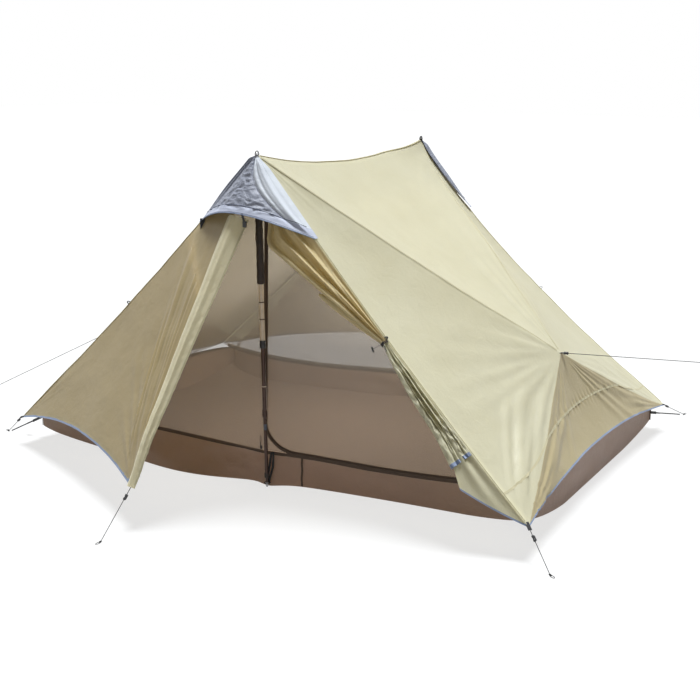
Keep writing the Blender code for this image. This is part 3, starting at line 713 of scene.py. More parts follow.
def creased(points, size, height, shift):
    """Noise with sharp ridges, like the creases of a crumpled sheet."""
    return height * (0.35 - np.abs(uneven(points, size, 1, shift)))


def pulled(points):
    """The points of a canopy surface with its folds and slight unevenness."""
    outward = units(points - SWELL_CENTRE)
    total = sum(push(points) for push in FANS) + gathered_seams(points)
    for size, height, shift in SWELL_LAYERS:
        total = total + outward * uneven(points, size, height, shift)[..., None]
    return settle(points + total)


# Builders

WELD = 0.00002
SHARP = radians(50)
CORD_ROUNDNESS = 3
RING_STEPS = 16


def settled(obj):
    """The object with its modifiers applied, shaded smooth apart from its creased edges."""
    graph = bpy.context.evaluated_depsgraph_get()
    mesh = bpy.data.meshes.new_from_object(obj.evaluated_get(graph))
    obj.modifiers.clear()
    obj.data = mesh
    mesh.shade_smooth()
    mesh.set_sharp_from_angle(angle=SHARP)
    return obj


def linked(name, data, finishes=()):
    obj = bpy.data.objects.new(name, data)
    bpy.context.scene.collection.objects.link(obj)
    for finish in finishes:
        data.materials.append(finish)
    return obj


def cloth(name, panels, finishes, thickness=CLOTH_THICKNESS):
    """Cloth from grids that share their edges, welded and thickened. A panel is a grid of points and,
    optionally, the material number of each of its faces. Its map runs in metres along rows and columns."""
    points = []
    faces = []
    flat = []
    slots = []
    count = 0
    for grid, numbers in panels:
        rows, columns = grid.shape[:2]
        index = count + np.arange(rows * columns).reshape(rows, columns)
        count += rows * columns
        quads = np.stack([index[:-1, :-1], index[:-1, 1:], index[1:, 1:], index[1:, :-1]], -1).reshape(-1, 4)
        down = run_along(grid[:, columns // 2])
        over = np.stack([run_along(row) for row in grid])
        over = over - over[:, -1:] / 2
        lay = np.stack([over, np.repeat(down[:, None], columns, 1)], -1).reshape(-1, 2)
        points.append(grid.reshape(-1, 3))
        faces.append(quads)
        flat.append(lay[quads - index[0, 0]].reshape(-1, 2))
        slots.append(np.zeros(len(quads), int) if numbers is None else numbers.reshape(-1))
    mesh = bpy.data.meshes.new(name)
    mesh.from_pydata(np.concatenate(points).tolist(), [], np.concatenate(faces).tolist())
    lay = mesh.uv_layers.new(name="cloth")
    lay.data.foreach_set("uv", np.concatenate(flat).astype(np.float32).ravel())
    mesh.polygons.foreach_set("material_index", np.concatenate(slots).astype(np.int32))
    bm = bmesh.new()
    bm.from_mesh(mesh)
    bmesh.ops.remove_doubles(bm, verts=bm.verts, dist=WELD)
    bmesh.ops.recalc_face_normals(bm, faces=bm.faces)
    bm.to_mesh(mesh)
    bm.free()
    obj = linked(name, mesh, finishes)
    shell = obj.modifiers.new("thickness", "SOLIDIFY")
    shell.thickness = thickness
    shell.offset = 0.0
    return settled(obj)


def mesh_grid(surface, u, v):
    down, over = np.meshgrid(u, v, indexing="ij")
    return surface(down, over)


def all_faces(grid, number):
    """One material number for every face of a grid."""
    return np.full((grid.shape[0] - 1, grid.shape[1] - 1), number)


def last_row(grid, number=1, rest=0):
    """Material numbers for a grid whose last row of faces is of another cloth than the rest."""
    numbers = all_faces(grid, rest)
    numbers[-1] = number
    return numbers


def ribbon(name, path, across, width, finish, thickness=0.0009, columns=4, crown=0.0, lean=0.0):
    """A flat strip along a path, width wide along across and arched by crown. lean moves it aside by this
    share of its width."""
    path = np.asarray(path, float)
    across = units(np.broadcast_to(np.asarray(across, float), path.shape))
    outward = units(np.cross(np.gradient(path, axis=0), across))
    rows = []
    for share in np.linspace(-0.5, 0.5, columns + 1):
        bend = crown * (1 - (2 * share) ** 2)
        rows.append(path + across * (width * (share + lean)) + outward * bend)
    return cloth(name, [(np.stack(rows, 1), None)], [finish], thickness)


def turned(name, profile, finishes, frame_matrix, steps=32):
    """A turned piece. Its profile runs from top to bottom as (radius, height) pairs."""
    bm = bmesh.new()
    angles = [tau * step / steps for step in range(steps)]
    rings = []
    for radius, height in profile:
        if radius < 1e-6:
            rings.append([bm.verts.new((0, 0, height))])
        else:
            rings.append([bm.verts.new((radius * cos(a), radius * sin(a), height)) for a in angles])
    for upper, lower in zip(rings, rings[1:]):
        for step in range(steps):
            after = (step + 1) % steps
            if len(upper) == 1:
                bm.faces.new((upper[0], lower[step], lower[after]))
            elif len(lower) == 1:
                bm.faces.new((upper[step], lower[0], upper[after]))
            else:
                bm.faces.new((upper[step], lower[step], lower[after], upper[after]))
    return from_bmesh(name, bm, finishes, frame_matrix)


def from_bmesh(name, bm, finishes, frame_matrix):
    """The built faces as a piece with its modifiers and shading settled."""
    mesh = bpy.data.meshes.new(name)
    bm.to_mesh(mesh)
    bm.free()
    obj = linked(name, mesh, finishes)
    obj.matrix_world = frame_matrix
    return settled(obj)


def mirrored_half(profile):
    """The lower half of a turned piece's profile, from an upper half that ends at its middle."""
    return [(radius, -height) for radius, height in profile[-2::-1]]


def moved(place):
    return Matrix.Translation(Vector(place_of(place)))


def aligned(origin, direction):
    """A frame at origin whose Z runs along direction."""
    return moved(origin) @ Vector(direction).normalized().to_track_quat("Z", "Y").to_matrix().to_4x4()


def tube(name, points, diameter, finish, smooth_line=False, closed=False):
    """A round cord along points, as a curve of one open or closed spline."""
    curve = bpy.data.curves.new(name, "CURVE")
    curve.dimensions = "3D"
    curve.bevel_depth = diameter / 2
    curve.bevel_resolution = CORD_ROUNDNESS
    curve.use_fill_caps = not closed
    spline = curve.splines.new("NURBS" if smooth_line else "POLY")
    spline.points.add(len(points) - 1)
    for place, point in zip(spline.points, points):
        place.co = (*place_of(point), 1)
    if smooth_line:
        spline.order_u = 4
        spline.use_endpoint_u = not closed
    spline.use_cyclic_u = closed
    return linked(name, curve, [finish])


def place_of(point):
    return [float(value) for value in point]


def box_piece(name, size, frame_matrix, finish, edge=0.001):
    """A block with rounded edges."""
    bm = bmesh.new()
    bmesh.ops.create_cube(bm, size=1)
    bmesh.ops.scale(bm, vec=size, verts=bm.verts)
    bmesh.ops.bevel(bm, geom=bm.edges, offset=edge, segments=3, affect="EDGES", profile=0.5)
    return from_bmesh(name, bm, [finish], frame_matrix)


def joined(name, pieces):
    """Several mesh objects as one, with its vertices in the scene's own frame."""
    target = bpy.data.meshes.new(name)
    bm = bmesh.new()
    finishes = []
    for piece in pieces:
        piece_mesh = piece.data.copy()
        piece_mesh.transform(piece.matrix_world)
        lookup = []
        for finish in piece.data.materials:
            if finish not in finishes:
                finishes.append(finish)
            lookup.append(finishes.index(finish))
        start = len(bm.faces)
        bm.from_mesh(piece_mesh)
        bm.faces.ensure_lookup_table()
        for face in bm.faces[start:]:
            face.material_index = lookup[face.material_index]
        bpy.data.meshes.remove(piece_mesh)
        bpy.data.objects.remove(piece)
    bm.to_mesh(target)
    bm.free()
    return linked(name, target, finishes)


def meshed(obj):
    """A curve object as a mesh object of the same name."""
    graph = bpy.context.evaluated_depsgraph_get()
    mesh = bpy.data.meshes.new_from_object(obj.evaluated_get(graph))
    mesh.shade_smooth()
    name = obj.name
    bpy.data.objects.remove(obj)
    return linked(name, mesh)


def level_ring(name, centre, radius, diameter, finish):
    """A level ring of round section."""
    angles = np.linspace(0, tau, RING_STEPS + 1)[:-1]
    points = [centre + spot(radius * cos(a), radius * sin(a), 0) for a in angles]
    return meshed(tube(name, points, diameter, finish, closed=True))


def finished(obj, body, slot_name, *nodes):
    """The piece rides on its body and stands for the CAD nodes named; slot_name is not used."""
    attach(obj, body)
    if nodes:
        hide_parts(*nodes)
    return obj


# Canopy

HEAD_ROWS = 22
SEAM_ROWS = 68
TOWARDS_GUY = 1.2
SEAM_STEPS = np.concatenate([
    np.linspace(0, HEAD_SHARE, HEAD_ROWS, endpoint=False),
    1 - (1 - HEAD_SHARE) * (1 - np.linspace(0, 1, SEAM_ROWS + 1)) ** TOWARDS_GUY])
FOLD_ROWS = 70
FOLD_LENGTH = float(np.linalg.norm(corner(1) - guy_point(1)))
FOLD_STEPS = np.append(np.linspace(0, 1, FOLD_ROWS) ** TOWARDS_GUY * (1 - BINDING_WIDTH / FOLD_LENGTH), 1)
HEM_COLUMNS = 112
ROOF_COLUMNS = 48
HEAD_COLUMNS = 16
DOOR_COLUMNS = 120


def even(count):
    return np.linspace(0, 1, count)


def make_canopy():
    panels = []
    for turn in (FRONT, REAR):
        panels.append((pulled(mesh_grid(roof_surface(1), SEAM_STEPS, even(ROOF_COLUMNS)) * turn), None))
        for side in (-1, 1):
            panels.append((pulled(mesh_grid(front_surface(side), SEAM_STEPS, FOLD_STEPS) * turn), None))
        end = pulled(mesh_grid(end_surface(1), FOLD_STEPS, even(HEM_COLUMNS)) * turn)
        # End panels: material 2, the khaki with painted shade, and the binding on the hem row
        panels.append((end, last_row(end, 1, 2)))
    head_steps = SEAM_STEPS[:HEAD_ROWS + 1] / HEAD_SHARE
    for side, tip, turn in DOORS.values():
        head = pulled(mesh_grid(head_surface(side, tip), head_steps, even(HEAD_COLUMNS)) * turn)
        # Heads: material 3, the khaki with painted shade, as on the doors
        panels.append((head, all_faces(head, 3)))
    canopy = cloth("canopy", panels, [KHAKI, BINDING, SHADED_END, SHADED])
    nodes = ["fly_" + panel + "_" + side for panel in ("roof", "front", "rear", "end")
             for side in ("left", "right")]
    finished(canopy, "root", "khaki_nylon", *nodes, "door_head_front", "door_head_rear")


def hung(piece, side, tip):
    """Bakes the placement of a piece of a door into its mesh."""
    hinge, axis, zip_start = door_frame(side, tip)
    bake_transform(piece)


def make_door(name, side, tip, turn):
    length = float(np.linalg.norm(tip - door_frame(side, tip)[2]))
    rows = (SEAM_STEPS[HEAD_ROWS:] - HEAD_SHARE) / (1 - HEAD_SHARE)
    rows = np.append(rows[:-1], [1 - BINDING_WIDTH / length, 1])
    grid = pulled(mesh_grid(door_surface(side, tip), rows, even(DOOR_COLUMNS)) * turn)
    # The door takes the khaki with painted shade
    door = cloth(name, [(grid, last_row(grid))], [SHADED, BINDING])
    hung(door, side, tip)
    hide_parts("fly_" + name)


SEAM_WIDTH = 0.008
SEAM_LIFT = 0.0004
LOW_SEAM_LIFT = 0.0009
PUCKER_SIZE = 0.011


def seam_ribbon(path, outward, crown):
    return ribbon("seam", path, np.cross(np.gradient(path, axis=0), outward), SEAM_WIDTH, SEAM, crown=crown)


def low_seam(path, outward):
    """A narrow puckered seam across a panel."""
    path = pulled(path)
    lift = LOW_SEAM_LIFT + np.abs(uneven(path, PUCKER_SIZE, PUCKER, 2.0))
    return seam_ribbon(path + outward * lift[:, None], outward, 0.0005)


def make_seams():
    """Felled seams that stand a little proud of the canopy, with the cord edge of each doorway."""
    strips = []
    steps = np.linspace(0.012, 0.985, 90)
    for turn in (FRONT, REAR):
        for side in (-1, 1):
            for seam, facing, crown in ((roof_seam, ROOF_OUT + FRONT_OUT, 0.0016),
                                        (door_seam, FRONT_OUT + DOOR_OUT, 0.0020)):
                out = mirrored_x(unit(facing), side) * turn
                strips.append(seam_ribbon(pulled(seam(side)(steps) * turn) + out * SEAM_LIFT, out, crown))
    strips += [low_seam(path, outward) for path, outward in LOW_SEAMS]
    ridge = sagging(PEAK, FAR_PEAK, RIDGE_SAG)(np.linspace(0.01, 0.99, 90))
    strips.append(ribbon("seam", pulled(ridge) + UP * SEAM_LIFT, spot(1, 0, 0), 0.009, SEAM, crown=0.0036))
    finished(joined("canopy_seams", strips), "root", "khaki_nylon")


make_camera()

# Guy lines, laid where the CAD model has them

LOOP_LENGTH = 0.024
LOOP_HALF_WIDTH = 0.005
LOOP_STEPS = 14
LOOP_CORD = CORD_DIAMETER * 0.8
KNOT_LENGTH = 0.010
KNOT_BACK = 0.004
KNOT_RADIUS = 0.0026
KNOT_LIFT = 0.0008
KNOT_STEPS = 30
STEPS_A_TURN = 10
# The tensioner's barrel from its foot to its middle, as (radius, distance from the middle)
BARREL_HALF = ((0.0021, 0.0115), (0.0042, 0.0110), (0.0050, 0.0085), (0.0046, 0.0040), (0.0033, 0.0))
BARREL_BORE = 0.0017
# Where the two mid lines end: the left one on the ground, the right one where the photograph's edge is near
MID_ENDS = {-1: spot(-GUY_X - 0.968, -0.29, 0), 1: guy_point(1) + spot(0.738, 0.369, -0.044)}


def peg_loop(name, end, direction, body):
    """The loop tied in a line's far end, with its knot; it lies flat where the line meets the ground."""
    if end[2] < CORD_DIAMETER:
        direction = direction * spot(1, 1, 0)
    direction = unit(direction)
    side = unit(np.cross(direction, UP))
    centre = end + direction * LOOP_LENGTH / 2
    ring = []
    for step in range(LOOP_STEPS):
        angle = tau * step / LOOP_STEPS
        ring.append(centre - direction * (LOOP_LENGTH / 2 * cos(angle))
                    + side * (LOOP_HALF_WIDTH * sin(angle)))
    loop = meshed(tube(name + "_ring", ring, LOOP_CORD, CORD, closed=True, smooth_line=True))
    turns = []
    for step in range(KNOT_STEPS):
        angle = tau * step / STEPS_A_TURN
        along = end + direction * (step / KNOT_STEPS * KNOT_LENGTH - KNOT_BACK)
        turns.append(along + side * (KNOT_RADIUS * cos(angle)) + UP * (KNOT_RADIUS * sin(angle) + KNOT_LIFT))
    knot = meshed(tube(name + "_turns", turns, LOOP_CORD, CORD, smooth_line=True))
    return finished(joined(name, [loop, knot]), body, "guy_cord")


def tensioner(name, start, direction, body):
    """A line tensioner: a waisted barrel that the line threads, with a hook along its side."""
    direction = unit(direction)
    frame_matrix = aligned(start + direction * TENSIONER_FROM_END, direction)
    top = BARREL_HALF[0]
    profile = [*BARREL_HALF, *mirrored_half(BARREL_HALF), (BARREL_BORE, -top[1]), (BARREL_BORE, top[1]), top]
    barrel = turned(name + "_barrel", profile, [PLASTIC], frame_matrix, steps=24)
    side = frame_matrix @ Matrix.Translation((0.0052, 0, 0))
    hook = box_piece(name + "_hook", (0.0036, 0.0052, 0.019), side, PLASTIC, edge=0.0012)
    return finished(joined(name + "_detail", [barrel, hook]), body, "black_plastic", name)


def guy_line(name, start, end, body, with_tensioner):
    direction = end - start
    steps = np.linspace(0, 1, CORD_POINTS)[:, None]
    line = tube("guy_line_" + name, start + direction * steps, CORD_DIAMETER, CORD)
    finished(line, body, "guy_cord", "guy_" + name)
    held = [peg_loop("peg_loop_" + name, end, direction, body)]
    if with_tensioner:
        held.append(tensioner("tensioner_" + name, start, direction, "tensioner_" + name))


def corner_line(name, anchor, run, body="root"):
    peg = spot(anchor[0] + run[0], anchor[1] + run[1], CORD_DIAMETER / 2)
    start = anchor + unit(peg - anchor) * CORD_START
    guy_line(name, start, peg, body, True)


def mid_line(name, anchor, end):
    start = anchor + unit(end - anchor) * MID_CORD_START
    guy_line(name, start, end, "root", False)


for (side, end), run in CORNER_RUNS.items():
    line_name = ("rear" if end > 0 else "front") + ("_right" if side > 0 else "_left")
    corner_line(line_name, corner(side, end), run)
for end_name, tip, turn in ENDS:
    corner_line(end_name, tip * turn, (0, -VESTIBULE_RUN * turn[1]), ZIP_DOORS[end_name])
mid_line("mid_left", guy_point(-1), MID_ENDS[-1] + UP * (CORD_DIAMETER / 2))
mid_line("mid_right", guy_point(1), MID_ENDS[1])

make_canopy()
make_seams()
for door_name, place in DOORS.items():
    make_door(door_name, *place)

# Storm flaps over the door zips

FLAP_WIDTH = 0.076
FLAP_FOOT_WIDTH = 0.022
FLAP_SEWN = 0.042
FLAP_SHARE = 0.22
FLAP_LIFT = 0.0135
FLAP_TOP = 0.19
FLAP_RIDGE = 0.006
FLAP_HEAD_ROWS = 34
FLAP_DOOR_ROWS = 92
FLAP_COLUMNS = 25


def flap_surface(side, tip):
    """The strip over the zip, from near the peak down to the tip: sewn to the door beside the zip line,
    and free over the other door's plane."""
    down = tip - PEAK
    way = unit(down)
    own = square_to(way, corner(side) - tip)
    other = square_to(way, corner(-side) - tip)

    def surface(u, v):
        line = PEAK + down * u[..., None]
        taper = smooth((u + 0.05) / 0.12)
        width = FLAP_WIDTH + (FLAP_FOOT_WIDTH - FLAP_WIDTH) * u
        sewn = FLAP_SEWN * (1 - 0.3 * u) * np.clip(1 - v / FLAP_SHARE, 0, 1)
        free = width * np.clip((v - FLAP_SHARE) / (1 - FLAP_SHARE), 0, 1)
        ridge = FLAP_RIDGE * np.exp(-(((v - 0.48) / 0.12) ** 2)) * smooth((1 - u) / 0.2)
        puckers = creased(np.stack([u * 62, v * 3.2, 0 * u], -1), 1.0, 0.0034, 5.0)
        lift = 0.001 + FLAP_LIFT * smooth(v / 0.16) + ridge + puckers * smooth((v - 0.40) / 0.25)
        across = own * (sewn * taper)[..., None] + other * (free * taper)[..., None]
        return line + across + ZIP_OUT * lift[..., None]
    return surface


def make_flap(end, tip, turn):
    """The part on the head piece stays with the canopy, and the rest follows the door."""
    surface = flap_surface(-1, tip)
    down = tip - PEAK
    cut = float((door_frame(-1, tip)[2] - PEAK) @ down / (down @ down))
    for name, start, stop, rows, rider in (("head", FLAP_TOP, cut, FLAP_HEAD_ROWS, "root"),
                                           ("door", cut, 1, FLAP_DOOR_ROWS, ZIP_DOORS[end])):
        grid = mesh_grid(surface, np.linspace(start, stop, rows), even(FLAP_COLUMNS)) * turn
        grid = grid + (pulled(grid[:, :1]) - grid[:, :1])
        # The flap takes the khaki with painted light
        flap = cloth("storm_flap_" + name + "_" + end, [(grid, None)], [LIT_FLAP])
        finished(flap, rider, "khaki_nylon")
        across = grid[:, -1] - grid[:, -2]
        hem = ribbon("flap_hem_" + name + "_" + end, grid[:, -1] - across * 0.3, across, 0.007, SEAM,
                     thickness=0.0016)
        finished(hem, rider, "khaki_nylon")


# Hoods

CREASE_START = 0.50
CREASE_TURN = 1.6
HOOD_FOLDS = ((0.30, -0.004), (0.62, 0.004), (0.80, -0.003))
HOOD_OUT = unit(spot(0.15, -0.85, 0.5))
FLANK_OUT = unit(spot(-0.62, -0.35, 0.70))
HOOD_GRAIN = np.array([[0.8, -0.5, 0.0], [0.2, 0.9, 0.2], [0.5, 0.6, 1.0]])
HOOD_ROWS = 56
BRIM_ROWS = 8
HOOD_COLUMNS = 88
BRIM_SHARE = 0.872


def hood_surface():
    left = part_of(door_seam(-1), 0, HOOD_LEFT_SHARE)
    right = part_of(door_seam(1), 0, HOOD_RIGHT_SHARE)
    middle = PEAK - spot(0, HOOD_BRIM_OUT, HOOD_BRIM_DROP)
    chord = (left(1.0) + right(1.0)) / 2

    def brim(t):
        t = np.asarray(t, float)[..., None]
        return left(1.0) + (right(1.0) - left(1.0)) * t + (middle - chord) * np.sin(pi * t)

    flat = patch(left, right, point_edge(PEAK), brim)

    def surface(u, v):
        """Smooth at the left, crinkled in the middle, and past a curved crease taut with long folds."""
        crease = crease_share(u)
        slack = smooth((crease - v) / 0.10) * smooth((v - 0.16) / 0.10)
        fold = np.exp(-(((v - crease) / 0.030) ** 2))
        beyond = np.clip((v - crease) / (1.001 - crease), 0, 1)
        long_folds = 0.008 * np.sin(pi * beyond) + sum(
            height * np.exp(-(((beyond - place) / 0.09) ** 2)) for place, height in HOOD_FOLDS)
        edge_folds = 0.0030 * np.sin(tau * v / 0.075) * smooth((0.20 - v) / 0.06)
        inside = smooth(u / 0.15) * smooth((1 - u) / 0.14) * smooth(v / 0.04)
        base = flat(u, v)
        crinkles = creased(base @ HOOD_GRAIN, 0.032, 0.0085, 2.0)
        crinkles = crinkles + creased(base @ HOOD_GRAIN * spot(1, 1.6, 1), 0.013, 0.0030, 9.0)
        stand_off = HOOD_RIDGE * np.exp(-((v / 0.10) ** 2)) * smooth(u / 0.10) * smooth((1 - u) / 0.60)
        push = HOOD_LIFT + inside * (slack * crinkles - 0.005 * fold + long_folds + edge_folds)
        return base + HOOD_OUT * push[..., None] + FLANK_OUT * stand_off[..., None]
    return surface


def crease_share(u):
    return CREASE_START + (0.96 - CREASE_START) * u ** CREASE_TURN


def hood_flange(grid, side):
    """The edge of the hood, turned down on to the panel beyond the seam."""
    seam = door_seam(side)(even(grid.shape[0]) * (HOOD_LEFT_SHARE if side < 0 else HOOD_RIGHT_SHARE))
    along = unit(corner(side) - PEAK)
    inwards = square_to(along, guy_point(side) - PEAK)
    out = mirrored_x(FRONT_OUT, side)
    share = smooth(even(grid.shape[0]) / 0.2)[:, None]
    foot = seam + inwards * (HOOD_FLANGE * share) + out * 0.0022
    return foot[:, None]


def make_hood(end, turn):
    rows = np.append(np.linspace(0.0, 0.86, HOOD_ROWS), np.linspace(BRIM_SHARE, 1, BRIM_ROWS))
    grid = mesh_grid(hood_surface(), rows, even(HOOD_COLUMNS))
    # Faces past the crease take material 2, the grey with painted light
    numbers = np.where(even(HOOD_COLUMNS)[None, :-1] > crease_share(rows[:-1, None]), 2, 0)
    numbers[HOOD_ROWS:] = 1
    numbers = np.concatenate([numbers[:, :1], numbers, numbers[:, -1:]], 1)
    full = np.concatenate([hood_flange(grid, -1), grid, hood_flange(grid, 1)], 1) * turn
    full = full + (pulled(full) - full) * 0.8
    hood = cloth("hood_shell_" + end, [(full, numbers)], [HOOD, BRIM, HOOD_PAINTED_LIGHT], thickness=0.0012)
    finished(hood, "root", "grey_nylon", "hood_" + end)
    grid = full[:, 1:-1]
    facing = ZIP_OUT * turn
    trim = [meshed(tube("brim_piping", grid[-1], 0.0034, BINDING))]
    for row, size in ((HOOD_ROWS - 1, 0.0026), (HOOD_ROWS + BRIM_ROWS - 2, 0.0012)):
        trim.append(meshed(tube("brim_stitch", grid[row] + facing * 0.0008, size, STITCH)))
    finished(joined("hood_brim_" + end, trim), "root", "grey_nylon")


# Rolled door

ROLL_START = 0.14
ROLL_TIE = 0.838
ROLL_END = 1.335
ROLL_ROOM = 0.004
ROLL_TUCK = 0.022
SECOND_START = 0.55
# How far the roll reaches out from the seam, by the distance down the seam
ROLL_OUTLINE = ((0.14, 0.040), (0.29, 0.158), (0.838, 0.021), (0.885, 0.034), (1.05, 0.056),
                (1.21, 0.066), (1.34, 0.090))
ROLL_ROWS = 76
ROLL_COLUMNS = 97
TAIL_START = 1.12
TAIL_TIP = spot(0.9324, -0.8368, 0.2107)
TIE_RADIUS = 0.0135
TIE_STEPS = 26


def roll_width(reach):
    places, widths = np.transpose(ROLL_OUTLINE)
    return sum(np.interp(reach + shift, places, widths) for shift in (-0.02, 0, 0.02)) / 3


def roll_frame():
    length = float(np.linalg.norm(corner(1) - PEAK))
    axis = unit(corner(1) - PEAK)
    inward = square_to(axis, VESTIBULE - PEAK)
    return length, axis, inward, unit(np.cross(inward, axis))


def roll_surface(reach, q):
    """The gathered cloth by its distance down the seam: pleats from the seam (q 0 to 0.5), then the roll."""
    length, axis, inward, outward = roll_frame()
    above = np.clip((ROLL_TIE - reach) / (ROLL_TIE - ROLL_START), 0, 1)
    below = np.clip((reach - ROLL_TIE) / (ROLL_END - ROLL_TIE), 0, 1)
    room = 0.001 + ROLL_ROOM * np.clip(1 - 4 * np.maximum(above, below), 0, 1)
    radius = 0.0050 + 0.0045 * above ** 0.7 + 0.0080 * below ** 0.6
    flat_width = roll_width(reach) - 2 * radius - room
    depth = 0.0050 + 0.011 * np.sin(pi * above) + 0.012 * np.sin(pi * np.clip(below * 1.1, 0, 1))
    flat = np.clip(q / 0.5, 0, 1)
    wound = np.clip((q - 0.5) / 0.5, 0, 1)
    waves = np.sin(tau * 2.6 * flat + 5.0 * reach) + 0.45 * np.sin(tau * 5.3 * flat - 9.0 * reach)
    pleat = depth * waves * np.sin(pi * flat) ** 0.7 * (0.35 + 0.85 * flat)
    angle = pi - tau * 1.65 * wound
    shrink = radius * (1 - 0.45 * wound)
    along = np.where(q < 0.5, flat_width * flat, flat_width + radius + shrink * np.cos(angle))
    lift = np.where(q < 0.5, pleat, shrink * np.sin(angle))
    base = door_seam(1)(reach / length)
    crumple = np.clip(below * 4, 0, 1) * smooth(flat / 0.2)
    cells = np.stack([reach * 24, q * 9, 0 * q], -1)
    rough = (creased(cells, 1.0, 0.014, 3.0) + creased(cells * 2.3, 1.0, 0.005, 8.0)) * crumple
    tuck = ROLL_TUCK * smooth((0.34 - reach) / 0.12)
    return base + inward * (along + room)[..., None] + outward * (lift + rough - tuck)[..., None]


def second_fold(reach, q):
    """A loose fold of the roll that hangs beside it above the tie."""
    length, axis, inward, outward = roll_frame()
    share = np.clip((reach - SECOND_START) / (ROLL_TIE - SECOND_START), 0, 1)
    radius = 0.002 + 0.0075 * np.sin(pi * share ** 0.6) ** 0.7
    centre = roll_width(reach) - 0.002 + 0.009 * (1 - share)
    turn = tau * q
    base = door_seam(1)(reach / length)
    along = centre + radius * np.cos(turn) * 1.3
    lift = -0.010 + radius * np.sin(turn)
    return base + inward * along[..., None] + outward * lift[..., None]


def hanging_strip(u, v):
    """The foot of the rolled door, hanging along the seam to the corner."""
    seam = part_of(door_seam(1), TAIL_START / roll_frame()[0], 0.998)
    top = seam(0.0)
    down = patch(seam, sagging(top, TAIL_TIP), point_edge(top), sagging(corner(1), TAIL_TIP, 0.006))
    ripple = 0.006 * np.sin(pi * u) * np.sin(tau * 1.6 * v + 3 * u) * np.sin(pi * v)
    return down(u, v) + unit(spot(0.35, -0.85, 0.4)) * ripple[..., None]


def make_rolled_door():
    reaches = np.concatenate([np.linspace(ROLL_START, ROLL_TIE, ROLL_ROWS, endpoint=False),
                              np.linspace(ROLL_TIE, ROLL_END - 0.014, 70), [ROLL_END]])
    gathered = mesh_grid(roll_surface, reaches, even(ROLL_COLUMNS))
    loose = mesh_grid(second_fold, np.linspace(SECOND_START, ROLL_TIE, 40), even(19))
    strip = mesh_grid(hanging_strip, np.append(np.linspace(0, 0.975, 44), 1), even(20))
    # Above the tie: the khaki with painted backlight; below it the plain khaki, with binding on the hem
    numbers = last_row(gathered)
    numbers[ROLL_ROWS:-1] = 2
    panels = [(gathered, numbers), (loose, None), (strip, last_row(strip, 1, 2))]
    door = cloth("rolled_door", panels, [BACKLIT_ROLL, BINDING, KHAKI], thickness=0.0008)
    finished(door, "root", "khaki_nylon", "fly_door_front_right")
    make_tie()


def make_tie():
    """A thin cord wound twice round the rolled door, with its knot, two ends and a toggle."""
    length, axis, inward, outward = roll_frame()
    middle = door_seam(1)(ROLL_TIE / length) + inward * (0.001 + ROLL_ROOM + 0.0095)
    turns = []
    for step in range(2 * TIE_STEPS + 5):
        angle = tau * step / TIE_STEPS
        turns.append(middle + axis * (0.0042 * step / TIE_STEPS - 0.004) + inward * (TIE_RADIUS * cos(angle))
                     + outward * (TIE_RADIUS * sin(angle)))
    pieces = [meshed(tube("tie_turns", turns, 0.0032, WEB, smooth_line=True))]
    knot = middle + outward * TIE_RADIUS + inward * 0.004
    loop = [knot + axis * (0.004 * sin(tau * step / 11)) + UP * (0.004 * cos(tau * step / 11))
            + outward * 0.0015 * cos(tau * step / 5) for step in range(23)]
    pieces.append(meshed(tube("tie_knot", loop, 0.0030, WEB, smooth_line=True)))
    for lean in (-0.011, 0.006):
        tail = [knot + spot(lean, -0.003, -0.007) * step for step in (0, 0.6, 1.4, 2.4, 3.4)]
        pieces.append(meshed(tube("tie_end", tail, 0.0024, WEB, smooth_line=True)))
    toggle = aligned(knot + spot(-0.036, -0.010, -0.024), (0.3, 0.1, -0.9))
    half = [(0, 0.011), (0.0030, 0.010), (0.0036, 0.004), (0.0028, 0)]
    pieces.append(turned("tie_toggle", half + mirrored_half(half), [PLASTIC], toggle, 16))
    return finished(joined("door_tie_cord", pieces), "root", "black_plastic", "door_tie")


# Inner tent

FLOOR_LOW = 0.0009
BILLOW = 0.088
BILLOW_LENGTH = 1.0
BILLOW_CROWDING = 0.7
TUB_DIP = 0.012
FOOT_X = 0.045
FOOT_POINT = 0.038
FOOT_POINT_WIDTH = 0.055
WALL_ROWS = 12
WALL_STEPS = even(121)
SHORT_STEPS = even(65)
WALL_SEAM = 0.575
CREASE_Y = -0.65
# Where each corner of the tub is drawn to, and how far along its walls that shows
TUB_TIPS = {(1, -1): ((1.070, -0.640, 0.105), 0.28), (1, 1): ((1.125, 0.750, 0.085), 0.26),
            (-1, -1): ((-1.165, -0.692, 0.085), 0.26), (-1, 1): ((-1.070, 0.640, 0.105), 0.28)}
TIP_PULL = 0.85
TIP_HEIGHT_KEPT = 0.30


def tub_depth(x):
    bulge = INNER_BULGE * np.clip(1 - np.abs(x) / INNER_HALF_X, 0, None) ** 3
    return INNER_HALF_Y - INNER_SKEW * x / INNER_HALF_X + bulge


def tub_top(x):
    """The height of the tub's top edge, which stays low for longer on the right of the pole."""
    share = np.abs(x) / INNER_HALF_X
    rise = np.where(x > 0, share ** 7, share ** 2)
    dip = TUB_DIP * np.sin(pi * np.clip(x / INNER_HALF_X, 0, 1)) ** 2
    return TUB_HEIGHT - dip + (TUB_CORNER_HEIGHT - TUB_HEIGHT) * rise


def tub_billow(x):
    """How much further the tub stands out on the ground than at its top."""
    share = np.clip(-x / BILLOW_LENGTH, 0, 1)
    billow = BILLOW * np.sin(pi * share ** BILLOW_CROWDING) ** 2
    return billow + FOOT_POINT * np.exp(-np.abs((x - FOOT_X) / FOOT_POINT_WIDTH) ** 1.5)


def tub_edge(height_at, start=-INNER_HALF_X, end=INNER_HALF_X):
    def edge(t):
        x = start + (end - start) * np.asarray(t, float)
        return np.stack([x, -tub_depth(x), height_at(x)], -1)
    return edge


